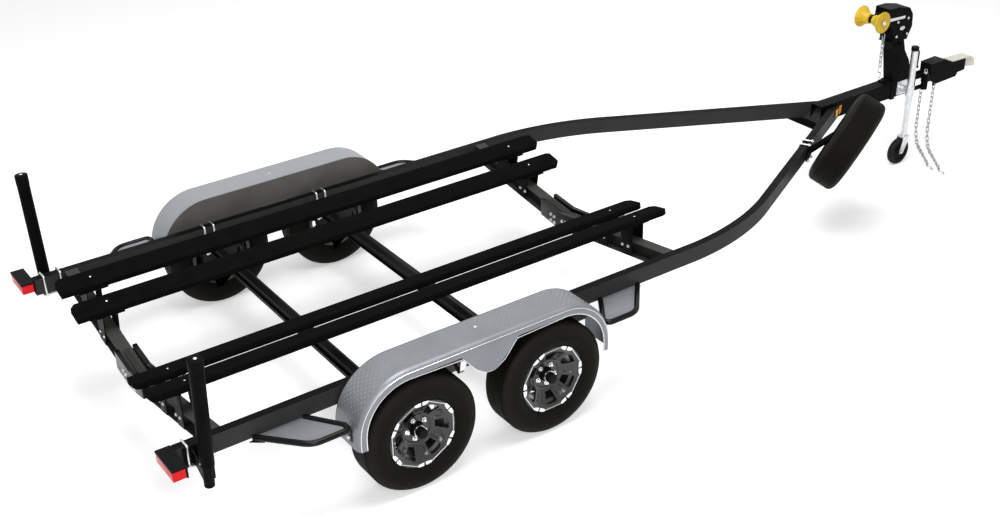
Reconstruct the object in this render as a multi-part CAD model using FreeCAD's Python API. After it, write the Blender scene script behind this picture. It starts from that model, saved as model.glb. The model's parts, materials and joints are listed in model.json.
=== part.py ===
import FreeCAD, Part
import math
import os

from FreeCAD import Matrix, Placement, Rotation, Vector

# A tandem-axle boat trailer with four carpeted bunks, parked on its tongue jack.
# Sizes are in millimetres. X points forward, Y to the left and Z up. While the pieces are made,
# x is counted from the point on the ground midway between the axles. The last step moves the
# whole trailer along X, so that the origin is below the middle of its overall length.

# Wheels
AXLE_SPACING = 820
WHEEL_Y = 1181
TYRE_RADIUS = 331.5
TYRE_WIDTH = 205
TREAD_WIDTH = 150
TYRE_SIDES = 40
BEAD_RADIUS = 178
RIM_LIP_RADIUS = 195
RIM_HALF_WIDTH = 76
RIM_LIP_THICK = 8
RIM_WALL = 5
RIM_DROP_RADIUS = 158
SPOKE_COUNT = 6
DISC_THICK = 14
WHEEL_OFFSET = 22
RIM_WELL_WIDTH = 52
PAD_SWEEP = 26
PAD_PROUD = 2
LUG_START = 4
CAP_DEPTH = 88
CAP_RADIUS = 28
WHEEL_TURN = {"rear": 120, "front": 30}
LUG_CIRCLE = 114.3
LUG_COUNT = 5
CENTRE_BORE_RADIUS = 42
DRUM_RADIUS = 127
SPINDLE_RADIUS = 20
RUNNING_CLEARANCE = 0.05
SEAT_CLEARANCE = 0.3

# Axles
AXLE_TUBE = 70
AXLE_TUBE_DROP = 56
ARM_RUN = 125
ARM_THICK = 26
SPINDLE_LENGTH = 152
BACKING_THICK = 6
BACKING_GAP = 3

# Main frame
RAIL_OUTER_Y = 1014
RAIL_WIDTH = 50
RAIL_HEIGHT = 102
RAIL_TOP = 618
RAIL_WALL = 5
RAIL_REAR_X = -1597
RAIL_CORNER_X = 2052
RAIL_TURN = 27.3
RAIL_BEND_RADIUS = 1800
TONGUE_WIDTH = 100
TONGUE_TOP = 640
TONGUE_HEIGHT = 122
TONGUE_REAR_X = 3740
TONGUE_FRONT_X = 4740
TONGUE_WALL = 6
CROSS_WIDTH = 76
CROSS_HEIGHT = 102
CROSS_WEB = 7
CROSS_FLANGE = 8
MID_REAR_FRONT_X = -500
MID_FRONT_FRONT_X = 270
REAR_CROSS_FRONT_X = -1345
REAR_CROSS_CENTRE_TOP = 430
FRONT_CROSS_FRONT_X = 1520
FRONT_CROSS_CENTRE_TOP = 478
SPLICE_LENGTH = 190
SPLICE_THICK = 8
SPLICE_RISE = 16
U_BOLT_RADIUS = 6

# Bunks
BUNK_REAR_X = -1563
BUNK_FRONT_X = 1700
BUNK_WIDTH = 139
BUNK_THICK = 40
BUNK_TILT = 12.4
BUNK_CHAMFER = 28
INNER_BUNK_Y = 407
INNER_BUNK_TOP = 661.5
OUTER_BUNK_Y = 633
OUTER_BUNK_TOP = 712
BRACKET_THICK = 6
BRACKET_LENGTH = 170
LEG_TOP = 60

# Fenders and steps
FENDER_INNER_Y = 1064
FENDER_OUTER_Y = 1291
FENDER_TOP = 755
FENDER_BOTTOM = 392
FENDER_HALF_LENGTH = 790
FENDER_END_RADIUS = 310
FENDER_THICK = 3
FENDER_LIP = 46
FENDER_ROLL = 38
SKIRT_HALF_WIDTH = 215
SKIRT_BOTTOM = 530
SKIRT_NOSE = 60
PANEL_BOTTOM = 470
STEP_Z = 520
STEP_TUBE_RADIUS = 16
STEP_PLATE_THICK = 4

# Rear lamps and guide posts
LAMP_LENGTH = 78
LAMP_INNER_Y = 955
LAMP_OUTER_Y = 1155
LAMP_TOP = 615
LAMP_HEIGHT = 68
POST_X = -1495
POST_FOOT_Y = 1124
POST_TOP_Y = 1183
POST_FOOT_Z = 432
POST_TOP_Z = 1174
POST_RADIUS = 35
POST_PLATE = 8
POST_SOCKET = 80
SOCKET_RADIUS = 26

# Spare wheel
SPARE_CENTRE = Vector(3372, -609, 670)
SPARE_YAW = 30
SPARE_LEAN = 26

# Winch stand and bow roller
STAND_HALF_WIDTH = 47
STAND_WALL = 5
STAND_TOP = 975
HOUSING_HALF_WIDTH = 62
ROLLER_X = 4240
ROLLER_Z = 1170
ROLLER_END_Y = 100
ROLLER_NECK_Y = 15
ROLLER_RADIUS = 79
ROLLER_NECK_RADIUS = 36
ROLLER_AXLE_RADIUS = 10

# Jack
JACK_X = 4603
JACK_Y = -126
JACK_PIVOT_Z = 575
JACK_TUBE_RADIUS = 25.4
JACK_TUBE_WALL = 3
JACK_TUBE_TOP = 905
JACK_LEG_BOTTOM = 221
JACK_TRAVEL = 220
JACK_TUBE_BOTTOM = JACK_LEG_BOTTOM + JACK_TRAVEL + 10
JACK_WHEEL_RADIUS = 101.6
JACK_WHEEL_WIDTH = 44
JACK_TRAIL = 45

# Folding tongue, coupler and chains
HINGE_X = 4835
HINGE_Y = 74
HINGE_PIN_RADIUS = 9
KNUCKLE_RADIUS = 24
COUPLER_REAR_X = 4925
NOSE_REAR_X = 5338
COVER_REAR_X = 5190
COVER_Z = 640
BALL_X = 5452
BALL_SOCKET_RADIUS = 25.8
SOCKET_CENTRE_Z = 578
SOCKET_MOUTH_Z = 548
LINK_WIRE = 6.5
LINK_INNER = 41
LINK_GAP = 5.5
LINK_SLOT = 14.2
CHAIN_X = 4980
CHAIN_Y = 54
CHAIN_EYE_Z = 520
CHAIN_REST_Z = 18.3
CHAIN_BEND = 150
CHAIN_FLOOR_TURN = 52
CHAIN_LINKS = 25
HOOK_RADIUS = 4.5
HOOK_Z = 17.9
HOOK_CLEARANCE = 0.2
EYE_HOLE = 8.5
EYE_THICK = 8
BOW_CHAIN_X = 4386
BOW_EYE_Z = 1036
BOW_CHAIN_LINKS = 7

parts = {}


# Plain solids

def box(x0, x1, y0, y1, z0, z1):
    return Part.makeBox(x1 - x0, y1 - y0, z1 - z0, Vector(x0, y0, z0))


def rod(start, end, radius):
    along = end - start
    return Part.makeCylinder(radius, along.Length, start, along)


def ring(start, end, outer, inner):
    return rod(start, end, outer).cut(rod(start, end, inner))


def face_of(points):
    return Part.Face(Part.makePolygon(points + [points[0]]))


def prism(points, along):
    return face_of(points).extrude(along)


def side_prism(outline, y0, y1):
    """A solid between two planes of constant y, from its outline in x and z."""
    return prism([Vector(x, y0, z) for x, z in outline], Vector(0, y1 - y0, 0))


def plan_prism(outline, z0, z1):
    """A solid between two heights, from its outline in x and y."""
    return prism([Vector(x, y, z0) for x, y in outline], Vector(0, 0, z1 - z0))


def turned(outline, centre):
    """A solid of revolution about the Y axis through centre, from pairs of y and radius."""
    points = [Vector(centre.x, centre.y + y, centre.z + radius) for y, radius in outline]
    return face_of(points).revolve(centre, Vector(0, 1, 0), 360)


def mirrored(shape):
    return shape.mirror(Vector(0, 0, 0), Vector(0, 1, 0))


def both_sides(shape):
    return Part.makeCompound([shape, mirrored(shape)])


def several(shapes):
    solids = []
    for shape in shapes:
        solids.extend(shape.Solids)
    return Part.makeCompound(solids)


def fused(shapes):
    shape = shapes[0].multiFuse(shapes[1:])
    return shape.removeSplitter()


def bent_path(points, radii):
    """Straight runs joined by tangent arcs, one radius for each inner point."""
    edges = []
    last = points[0]
    for i in range(1, len(points) - 1):
        before = (points[i - 1] - points[i]).normalize()
        after = (points[i + 1] - points[i]).normalize()
        half = before.getAngle(after) / 2
        reach = radii[i - 1] / math.tan(half)
        start = points[i] + before * reach
        end = points[i] + after * reach
        bisector = (before + after).normalize()
        middle = points[i] + bisector * (radii[i - 1] / math.sin(half) - radii[i - 1])
        edges.append(Part.LineSegment(last, start).toShape())
        edges.append(Part.Arc(start, middle, end).toShape())
        last = end
    edges.append(Part.LineSegment(last, points[-1]).toShape())
    return Part.Wire(edges)


def bent_rod(points, bend, radius):
    path = bent_path(points, [bend] * (len(points) - 2))
    section = Part.Wire(Part.makeCircle(radius, points[0], points[1] - points[0]))
    return path.makePipeShell([section], True, False)


def facet_ring(rings):
    """A closed solid of flat faces through rings of points, where the last ring joins the first."""
    faces = []
    for i, ring_points in enumerate(rings):
        following = rings[(i + 1) % len(rings)]
        for j in range(len(ring_points)):
            k = (j + 1) % len(ring_points)
            faces.append(face_of([ring_points[j], ring_points[k], following[k], following[j]]))
    return Part.Solid(Part.makeShell(faces))


# Tyres, wheels and hubs, made at the origin with the outboard side towards -Y

def tyre_solid():
    half = TYRE_WIDTH / 2
    outline = [
        (-RIM_HALF_WIDTH, BEAD_RADIUS),
        (-RIM_HALF_WIDTH, RIM_LIP_RADIUS + 4),
        (-half, BEAD_RADIUS + 72),
        (-half + 10, TYRE_RADIUS - 22),
        (-TREAD_WIDTH / 2, TYRE_RADIUS),
        (TREAD_WIDTH / 2, TYRE_RADIUS),
        (half - 10, TYRE_RADIUS - 22),
        (half, BEAD_RADIUS + 72),
        (RIM_HALF_WIDTH, RIM_LIP_RADIUS + 4),
        (RIM_HALF_WIDTH, BEAD_RADIUS),
    ]
    step = 2 * math.pi / TYRE_SIDES
    rings = []
    for i in range(TYRE_SIDES):
        angle = step * (i + 0.5)
        rings.append([
            Vector(radius * math.sin(angle), y, -radius * math.cos(angle))
            for y, flat_radius in outline
            for radius in [flat_radius / math.cos(step / 2)]
        ])
    return facet_ring(rings)


def rim_barrel():
    half = RIM_HALF_WIDTH
    lip = half + RIM_LIP_THICK
    seat = BEAD_RADIUS
    drop = RIM_DROP_RADIUS
    wall = RIM_WALL
    outline = [
        (-lip, seat - wall),
        (-lip, RIM_LIP_RADIUS),
        (-half, RIM_LIP_RADIUS),
        (-half, seat),
        (-half + 22, seat),
        (-half + 34, drop),
        (half - 34, drop),
        (half - 22, seat),
        (half, seat),
        (half, RIM_LIP_RADIUS),
        (lip, RIM_LIP_RADIUS),
        (lip, seat - wall),
        (half - 24, seat - wall),
        (half - 36, drop - wall),
        (-half + 36, drop - wall),
        (-half + 24, seat - wall),
    ]
    return turned(outline, Vector(0, 0, 0))


def spoke_windows():
    """The openings between the spokes and the holes for the studs."""
    through = Vector(0, -160, 0)
    corners = [(-18, 98), (18, 98), (36, 148), (29, 161), (-29, 161), (-36, 148)]
    shapes = []
    for i in range(SPOKE_COUNT):
        window = prism([Vector(x, 40, z) for x, z in corners], through)
        window.rotate(Vector(0, 0, 0), Vector(0, 1, 0), 360 / SPOKE_COUNT * (i + 0.5))
        shapes.append(window)
    for angle in lug_angles():
        hole = rod(Vector(0, 40, LUG_CIRCLE / 2), Vector(0, -60, LUG_CIRCLE / 2), 7.5)
        hole.rotate(Vector(0, 0, 0), Vector(0, 1, 0), angle)
        shapes.append(hole)
    return Part.makeCompound(shapes)


def lug_angles():
    return [LUG_START + 360 / LUG_COUNT * i for i in range(LUG_COUNT)]


def spoke_disc():
    """The wheel's face: a flat hub pad and spokes that rise outboard to the rim's lip."""
    reach = BEAD_RADIUS - RIM_WALL + 0.5
    lip = RIM_HALF_WIDTH + RIM_LIP_THICK
    pad = WHEEL_OFFSET - DISC_THICK
    outline = [
        (WHEEL_OFFSET, CENTRE_BORE_RADIUS),
        (WHEEL_OFFSET, 80),
        (WHEEL_OFFSET - 10, 88),
        (-RIM_WELL_WIDTH - 8, reach),
        (-lip + 4, reach),
        (-lip + 8, 162),
        (-2, 84),
        (pad, 76),
        (pad, CENTRE_BORE_RADIUS),
    ]
    return turned(outline, Vector(0, 0, 0)).cut(spoke_windows())


def rim_pads():
    """The raised pads on the rim's lip, one at the end of each spoke."""
    lip = RIM_HALF_WIDTH + RIM_LIP_THICK
    corners = [
        (-lip + 1, BEAD_RADIUS - RIM_WALL), (-lip + 1, RIM_LIP_RADIUS),
        (-lip - PAD_PROUD, RIM_LIP_RADIUS - 1), (-lip - PAD_PROUD, BEAD_RADIUS - RIM_WALL + 1)]
    pads = []
    for i in range(SPOKE_COUNT):
        pad = face_of([Vector(0, y, radius) for y, radius in corners])
        pad = pad.revolve(Vector(0, 0, 0), Vector(0, 1, 0), PAD_SWEEP)
        pad.rotate(Vector(0, 0, 0), Vector(0, 1, 0), 360 / SPOKE_COUNT * i - PAD_SWEEP / 2)
        pads.append(pad)
    return pads


def wheel_solid():
    return fused([rim_barrel(), spoke_disc()] + rim_pads())


def hub_solid():
    """Brake drum, hub, studs with nuts and long centre cap, with a bore for the spindle."""
    bore = SPINDLE_RADIUS + RUNNING_CLEARANCE
    depth = WHEEL_Y - (RAIL_OUTER_Y + 6 + ARM_THICK + BACKING_THICK) - BACKING_GAP
    face = WHEEL_OFFSET
    pad = WHEEL_OFFSET - DISC_THICK
    outline = [
        (depth, bore),
        (depth, 38),
        (face + 14, 44),
        (face + 14, DRUM_RADIUS - 12),
        (depth, DRUM_RADIUS - 12),
        (depth, DRUM_RADIUS),
        (face, DRUM_RADIUS),
        (face, CENTRE_BORE_RADIUS - 1),
        (pad - 2, CENTRE_BORE_RADIUS - 1),
        (pad - 2, 34),
        (-36, 32),
        (-40, CAP_RADIUS + 1),
        (-CAP_DEPTH + 3, CAP_RADIUS),
        (-CAP_DEPTH, CAP_RADIUS - 3),
        (-CAP_DEPTH, 0),
        (-30, 0),
        (-30, bore),
    ]
    solids = [turned(outline, Vector(0, 0, 0))]
    for angle in lug_angles():
        stud = rod(Vector(0, face, LUG_CIRCLE / 2), Vector(0, pad - 8, LUG_CIRCLE / 2), 6.5)
        nut = rod(Vector(0, pad, LUG_CIRCLE / 2), Vector(0, pad - 19, LUG_CIRCLE / 2), 10.5)
        pair = stud.fuse(nut)
        pair.rotate(Vector(0, 0, 0), Vector(0, 1, 0), angle)
        solids.append(pair)
    return fused(solids)


def place_wheels():
    tyre = tyre_solid()
    wheel = wheel_solid()
    hub = hub_solid()
    for side, sign in (("right", -1), ("left", 1)):
        for end, x in (("rear", -AXLE_SPACING / 2), ("front", AXLE_SPACING / 2)):
            for name, solid in (("tyre", tyre), ("wheel", wheel), ("hub", hub)):
                copy = solid.copy()
                if name != "tyre":
                    copy.rotate(Vector(0, 0, 0), Vector(0, 1, 0), WHEEL_TURN[end])
                if sign > 0:
                    copy = mirrored(copy)
                copy.translate(Vector(x, sign * WHEEL_Y, TYRE_RADIUS))
                parts[f"{name}_{side}_{end}"] = copy


# Axles: a square torsion tube under the rails, with a trailing arm and a spindle at each end

def axle(x):
    half = AXLE_TUBE / 2
    tube_top = RAIL_TOP - RAIL_HEIGHT - AXLE_TUBE_DROP
    tube_z = tube_top - half
    tube_x = x + ARM_RUN
    arm_inner = RAIL_OUTER_Y + 6
    arm_outer = arm_inner + ARM_THICK
    tube = box(tube_x - half, tube_x + half, -arm_inner, arm_inner, tube_z - half, tube_z + half)
    inner = half - 6
    hollow = box(tube_x - inner, tube_x + inner, -arm_inner, arm_inner, tube_z - inner, tube_z + inner)
    tube = tube.cut(hollow)
    arm_outline = [
        (tube_x - 4, tube_z + 42),
        (tube_x + 40, tube_z + 20),
        (tube_x + 34, tube_z - 34),
        (x + 18, TYRE_RADIUS - 34),
        (x - 34, TYRE_RADIUS - 14),
        (x - 26, TYRE_RADIUS + 30),
    ]
    arm = side_prism(arm_outline, arm_inner, arm_outer)
    spindle_start = Vector(x, arm_outer, TYRE_RADIUS)
    backing = rod(spindle_start, spindle_start + Vector(0, BACKING_THICK, 0), DRUM_RADIUS - 2)
    spindle = rod(spindle_start, spindle_start + Vector(0, SPINDLE_LENGTH, 0), SPINDLE_RADIUS)
    bracket_y = RAIL_OUTER_Y - RAIL_WIDTH - 6
    bracket = side_prism(
        [
            (tube_x - 90, RAIL_TOP - RAIL_HEIGHT),
            (tube_x + 90, RAIL_TOP - RAIL_HEIGHT),
            (tube_x + 42, tube_top),
            (tube_x - 42, tube_top),
        ],
        bracket_y,
        bracket_y + 56,
    )
    side = [arm, backing, spindle, bracket]
    return fused([tube] + side + [mirrored(shape) for shape in side])


# Side rails: a straight run, one gentle bend inwards and a straight run to the tongue

def rail_path(offset):
    """The rail's centre line in plan, moved outwards by offset."""
    turn = math.radians(RAIL_TURN)
    y = RAIL_OUTER_Y - RAIL_WIDTH / 2 + offset
    corner = Vector(RAIL_CORNER_X + offset * math.tan(turn / 2), y, 0)
    reach = (y - 10) / math.sin(turn)
    end = corner + Vector(math.cos(turn), -math.sin(turn), 0) * reach
    return bent_path([Vector(RAIL_REAR_X, y, 0), corner, end], [RAIL_BEND_RADIUS + offset])


def rail_bar(half_width, bottom, top):
    outer = rail_path(half_width)
    inner = rail_path(-half_width)
    caps = [
        Part.LineSegment(outer.Vertexes[0].Point, inner.Vertexes[0].Point).toShape(),
        Part.LineSegment(outer.Vertexes[-1].Point, inner.Vertexes[-1].Point).toShape(),
    ]
    outline = Part.Wire(Part.__sortEdges__(outer.Edges + inner.Edges + caps))
    bar = Part.Face(outline).extrude(Vector(0, 0, top - bottom))
    bar.translate(Vector(0, 0, bottom))
    return bar


def side_rail():
    bottom = RAIL_TOP - RAIL_HEIGHT
    bar = rail_bar(RAIL_WIDTH / 2, bottom, RAIL_TOP)
    bar = bar.cut(rail_bar(RAIL_WIDTH / 2 - RAIL_WALL, bottom + RAIL_WALL, RAIL_TOP - RAIL_WALL))
    beside_tongue = box(3000, 4500, -200, TONGUE_WIDTH / 2, 0, 1000)
    return bar.cut(beside_tongue)


def rail_point(x, outside):
    """A point at mid height on the left rail's slanted face, and the rail's direction there."""
    turn = math.radians(RAIL_TURN)
    direction = Vector(math.cos(turn), -math.sin(turn), 0)
    normal = Vector(math.sin(turn), math.cos(turn), 0)
    corner = Vector(RAIL_CORNER_X, RAIL_OUTER_Y - RAIL_WIDTH / 2, 0)
    along = (x - RAIL_CORNER_X) / math.cos(turn)
    point = corner + direction * along + normal * outside
    point.z = RAIL_TOP - RAIL_HEIGHT / 2
    return point, direction, normal


def tongue_beam():
    half = TONGUE_WIDTH / 2
    bottom = TONGUE_TOP - TONGUE_HEIGHT
    beam = box(TONGUE_REAR_X, TONGUE_FRONT_X, -half, half, bottom, TONGUE_TOP)
    wall = TONGUE_WALL
    hollow = box(
        TONGUE_REAR_X, TONGUE_FRONT_X, -half + wall, half - wall, bottom + wall, TONGUE_TOP - wall)
    return beam.cut(hollow)


def tongue_gusset():
    """A plate below the rails where they meet the tongue, with a cross web that stands on it."""
    turn = math.radians(RAIL_TURN)
    top = RAIL_TOP - RAIL_HEIGHT
    thick = 8

    def outer_y(x):
        return RAIL_OUTER_Y - RAIL_WIDTH / 2 - (x - RAIL_CORNER_X) * math.tan(turn)
    rear_x = 3330
    front_x = 3900
    half = [(rear_x, 0), (rear_x, outer_y(rear_x)), (front_x, outer_y(front_x)), (front_x, 0)]
    outline = half + [(x, -y) for x, y in reversed(half)][1:-1]
    plate = plan_prism(outline, top - thick, top)
    web_x = 3470
    reach = outer_y(web_x + thick) - RAIL_WIDTH / 2 / math.cos(turn) - 1
    web = box(web_x, web_x + thick, -reach, reach, top, RAIL_TOP - 4)
    return fused([plate, web])


# Crossmembers: I beams, level below the rails or a shallow V between them

def i_beam(start, end):
    """An I beam whose top flange follows the line from start to end, which is its front edge."""
    along = end - start
    shapes = []
    inset = (CROSS_WIDTH - CROSS_WEB) / 2
    for x0, x1, drop0, drop1 in (
        (0, CROSS_WIDTH, 0, CROSS_FLANGE),
        (inset, inset + CROSS_WEB, CROSS_FLANGE, CROSS_HEIGHT - CROSS_FLANGE),
        (0, CROSS_WIDTH, CROSS_HEIGHT - CROSS_FLANGE, CROSS_HEIGHT),
    ):
        corners = [(x0, drop0), (x1, drop0), (x1, drop1), (x0, drop1)]
        shapes.append(prism([start + Vector(-x, 0, -drop) for x, drop in corners], along))
    return fused(shapes)


def level_crossmember(front_x):
    top = RAIL_TOP - RAIL_HEIGHT
    return i_beam(Vector(front_x, -RAIL_OUTER_Y, top), Vector(front_x, RAIL_OUTER_Y, top))


def vee_crossmember(front_x, centre_top):
    end_y = RAIL_OUTER_Y - RAIL_WIDTH
    left = i_beam(Vector(front_x, 0, centre_top), Vector(front_x, end_y, RAIL_TOP))
    beam = left.fuse(mirrored(left)).removeSplitter()
    slope = (RAIL_TOP - centre_top) / end_y
    half = SPLICE_LENGTH / 2
    plates = []
    for x0, x1 in ((front_x, front_x + SPLICE_THICK),
                   (front_x - CROSS_WIDTH - SPLICE_THICK, front_x - CROSS_WIDTH)):
        rise = slope * half
        drop = CROSS_HEIGHT - 12
        top = centre_top + SPLICE_RISE
        outline = [
            (-half, top + rise), (0, top), (half, top + rise),
            (half, centre_top + rise - drop), (0, centre_top - drop), (-half, centre_top + rise - drop)]
        plates.append(prism([Vector(x0, y, z) for y, z in outline], Vector(x1 - x0, 0, 0)))
    return fused([beam] + plates)


# Bunks: carpeted boards that lean inwards, on angle brackets

def bunk(centre_y, centre_top):
    half = BUNK_WIDTH / 2
    chamfer = BUNK_CHAMFER
    outline = [
        (BUNK_REAR_X, -half), (BUNK_FRONT_X, -half + chamfer), (BUNK_FRONT_X, half - chamfer / 2),
        (BUNK_FRONT_X - chamfer, half), (BUNK_REAR_X + chamfer, half), (BUNK_REAR_X, half - chamfer)]
    outline.insert(1, (BUNK_FRONT_X - chamfer, -half))
    board = plan_prism(outline, -BUNK_THICK, 0)
    board.rotate(Vector(0, 0, 0), Vector(1, 0, 0), BUNK_TILT)
    board.translate(Vector(0, centre_y, centre_top))
    return board


def bunk_bracket(centre_y, centre_top, front_x, centre_height):
    """A flange under the board on two legs, one on each face of the crossmember."""
    tilt = math.radians(BUNK_TILT)
    half = BRACKET_LENGTH / 2
    middle_x = front_x - CROSS_WIDTH / 2
    under = centre_top - BUNK_THICK / math.cos(tilt)
    flange = box(middle_x - half, middle_x + half, -LEG_TOP, LEG_TOP, -BRACKET_THICK, 0)
    flange.rotate(Vector(0, 0, 0), Vector(1, 0, 0), BUNK_TILT)
    flange.translate(Vector(0, centre_y, under))
    slope = (RAIL_TOP - centre_height) / (RAIL_OUTER_Y - RAIL_WIDTH)

    def foot(y):
        return centre_height + slope * y - CROSS_HEIGHT + 6

    def head(y):
        return under + (y - centre_y) * math.tan(tilt) - BRACKET_THICK / 2
    inner = centre_y - LEG_TOP + 4
    outer = centre_y + LEG_TOP - 4
    outline = [
        (inner, head(inner)), (outer, head(outer)), (outer, foot(outer)), (inner + 34, foot(inner + 34))]
    shapes = [flange]
    for x in (front_x, front_x - CROSS_WIDTH - BRACKET_THICK):
        shapes.append(prism([Vector(x, y, z) for y, z in outline], Vector(BRACKET_THICK, 0, 0)))
    return fused(shapes)


# U-bolts around the rails, at the level crossmembers and the guide posts

def u_bolt(x, inner_y, outer_y, top, bottom):
    r = U_BOLT_RADIUS
    gap = SEAT_CLEARANCE
    points = [
        Vector(x, inner_y - r - gap, bottom), Vector(x, inner_y - r - gap, top + r + gap),
        Vector(x, outer_y + r + gap, top + r + gap), Vector(x, outer_y + r + gap, bottom)]
    return bent_rod(points, r + 0.5, r)


def frame_u_bolts():
    """Pairs of U-bolts: over the level crossmembers, where a plate joins them, and at the posts."""
    inner = RAIL_OUTER_Y - RAIL_WIDTH
    bottom = RAIL_TOP - RAIL_HEIGHT
    plate_top = bottom - CROSS_HEIGHT
    groups = []
    for front_x in (MID_REAR_FRONT_X, MID_FRONT_FRONT_X):
        middle = front_x - CROSS_WIDTH / 2
        reach = CROSS_WIDTH / 2 + U_BOLT_RADIUS + 2
        pair = [u_bolt(x, inner, RAIL_OUTER_Y, RAIL_TOP, plate_top - 18)
                for x in (middle - reach, middle + reach)]
        plate = box(
            middle - reach - 14, middle + reach + 14, inner - 22, RAIL_OUTER_Y + 22,
            plate_top - 8, plate_top)
        groups.append(fused(pair + [plate]))
    pair = [u_bolt(x, inner, RAIL_OUTER_Y + POST_PLATE, RAIL_TOP, bottom - 18)
            for x in (POST_X - 48, POST_X + 48)]
    plate = box(POST_X - 66, POST_X + 66, inner - 22, RAIL_OUTER_Y + 30, bottom - 8, bottom)
    groups.append(fused(pair + [plate]))
    return several([both_sides(group) for group in groups])


# Fenders

def fender_area(inset, bottom, y):
    """The area below the fender's arched top, inset from it all round."""
    end = FENDER_HALF_LENGTH - inset
    top = FENDER_TOP - inset
    radius = FENDER_END_RADIUS - inset
    corner = radius * (1 - math.sqrt(0.5))
    edges = [
        Part.LineSegment(Vector(-end, y, bottom), Vector(-end, y, top - radius)).toShape(),
        Part.Arc(
            Vector(-end, y, top - radius), Vector(-end + corner, y, top - corner),
            Vector(-end + radius, y, top)).toShape(),
        Part.LineSegment(Vector(-end + radius, y, top), Vector(end - radius, y, top)).toShape(),
        Part.Arc(
            Vector(end - radius, y, top), Vector(end - corner, y, top - corner),
            Vector(end, y, top - radius)).toShape(),
        Part.LineSegment(Vector(end, y, top - radius), Vector(end, y, bottom)).toShape(),
        Part.LineSegment(Vector(end, y, bottom), Vector(-end, y, bottom)).toShape(),
    ]
    return Part.Face(Part.Wire(edges))


def skirt_area(y):
    """The pointed skirt between the wheels, with a round nose."""
    width = SKIRT_HALF_WIDTH
    top = FENDER_TOP - 2
    nose_z = SKIRT_BOTTOM + SKIRT_NOSE
    lean = math.radians(40)
    flank = Vector(SKIRT_NOSE * math.cos(lean), y, nose_z - SKIRT_NOSE * math.sin(lean))
    edges = [
        Part.LineSegment(Vector(-width, y, top), Vector(width, y, top)).toShape(),
        Part.Arc(
            Vector(width, y, top), Vector(width * 0.55, y, (top + flank.z) / 2 - 14), flank).toShape(),
        Part.Arc(
            flank, Vector(0, y, SKIRT_BOTTOM), Vector(-flank.x, y, flank.z)).toShape(),
        Part.Arc(
            Vector(-flank.x, y, flank.z), Vector(-width * 0.55, y, (top + flank.z) / 2 - 14),
            Vector(-width, y, top)).toShape(),
    ]
    return Part.Face(Part.Wire(edges))


def rolled_block(inset, bottom, inner_y):
    outer_y = FENDER_OUTER_Y - inset
    block = fender_area(inset, bottom, inner_y).extrude(Vector(0, outer_y - inner_y, 0))
    edges = [
        edge for edge in block.Edges
        if all(abs(v.Y - outer_y) < 0.01 for v in edge.Vertexes) and edge.BoundBox.ZMax > bottom + 1]
    return block.makeFillet(FENDER_ROLL - inset, edges)


def fender():
    shell = rolled_block(0, FENDER_BOTTOM, FENDER_INNER_Y)
    shell = shell.cut(rolled_block(FENDER_THICK, FENDER_BOTTOM - 50, FENDER_INNER_Y - 50))
    y0 = FENDER_OUTER_Y - FENDER_ROLL - 10
    opening = fender_area(FENDER_LIP, FENDER_BOTTOM - 50, y0).cut(skirt_area(y0))
    return shell.cut(opening.extrude(Vector(0, 100, 0)))


def fender_panel():
    """The closed inner side of the fender, open over the axle arms."""
    y0 = FENDER_INNER_Y - FENDER_THICK
    panel = fender_area(0, FENDER_BOTTOM, y0).extrude(Vector(0, FENDER_THICK, 0))
    panel = panel.cut(box(-1000, 1000, y0 - 10, y0 + 10, 0, PANEL_BOTTOM))
    brace_outline = [(-120, 600), (52, 600), (40, 470), (20, 440), (-20, 436)]
    window = [(-70, 560), (26, 560), (20, 482), (4, 462), (-12, 460)]
    brace = side_prism(brace_outline, RAIL_OUTER_Y, RAIL_OUTER_Y + 6)
    brace = brace.cut(side_prism(window, RAIL_OUTER_Y - 1, RAIL_OUTER_Y + 7))
    arm = box(-120, 52, RAIL_OUTER_Y, y0, 588, 594)
    return fused([panel, brace, arm])


# Steps ahead of and behind each fender

def step_outline():
    """The tube's path in plan for the front step on the left side."""
    end = FENDER_HALF_LENGTH + STEP_TUBE_RADIUS + 1
    return [
        (1215, RAIL_OUTER_Y), (1178, 1128), (1010, 1238), (end + 6, 1276), (end, 1205),
        (935, RAIL_OUTER_Y)]


def step_frame(sign):
    points = [Vector(sign * x, y, STEP_Z) for x, y in step_outline()]
    path = bent_path(points, [60, 90, 30, 40])
    section = Part.Wire(Part.makeCircle(STEP_TUBE_RADIUS, points[0], points[1] - points[0]))
    tube = path.makePipeShell([section], True, False)
    rail_side = box(-3000, 3000, 0, RAIL_OUTER_Y, 0, 1000)
    tube = tube.cut(rail_side)
    x0 = FENDER_HALF_LENGTH
    tab = box(x0, x0 + 6, 1180, 1230, STEP_Z - 90, STEP_Z - 8)
    if sign < 0:
        tab = box(-x0 - 6, -x0, 1180, 1230, STEP_Z - 90, STEP_Z - 8)
    return fused([tube, tab])


def step_plate(sign):
    """The tread plate that fills the tube's loop at mid height."""
    points = [Vector(sign * x, y, 0) for x, y in step_outline()]
    path = bent_path(points, [60, 90, 30, 40])
    closing = Part.LineSegment(points[-1], points[0]).toShape()
    loop = Part.Face(Part.Wire(path.Edges + [closing]))
    inside = loop.makeOffset2D(-STEP_TUBE_RADIUS)
    plate = inside.extrude(Vector(0, 0, STEP_PLATE_THICK))
    plate.translate(Vector(0, 0, STEP_Z - STEP_PLATE_THICK / 2))
    return plate


# Rear lamps

def lamp_housing():
    rear = RAIL_REAR_X - LAMP_LENGTH
    cap = box(rear, RAIL_REAR_X, LAMP_INNER_Y, LAMP_OUTER_Y, LAMP_TOP - 12, LAMP_TOP)
    back = box(RAIL_REAR_X - 10, RAIL_REAR_X, LAMP_INNER_Y, LAMP_OUTER_Y, LAMP_TOP - LAMP_HEIGHT, LAMP_TOP)
    return fused([cap, back])


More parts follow.
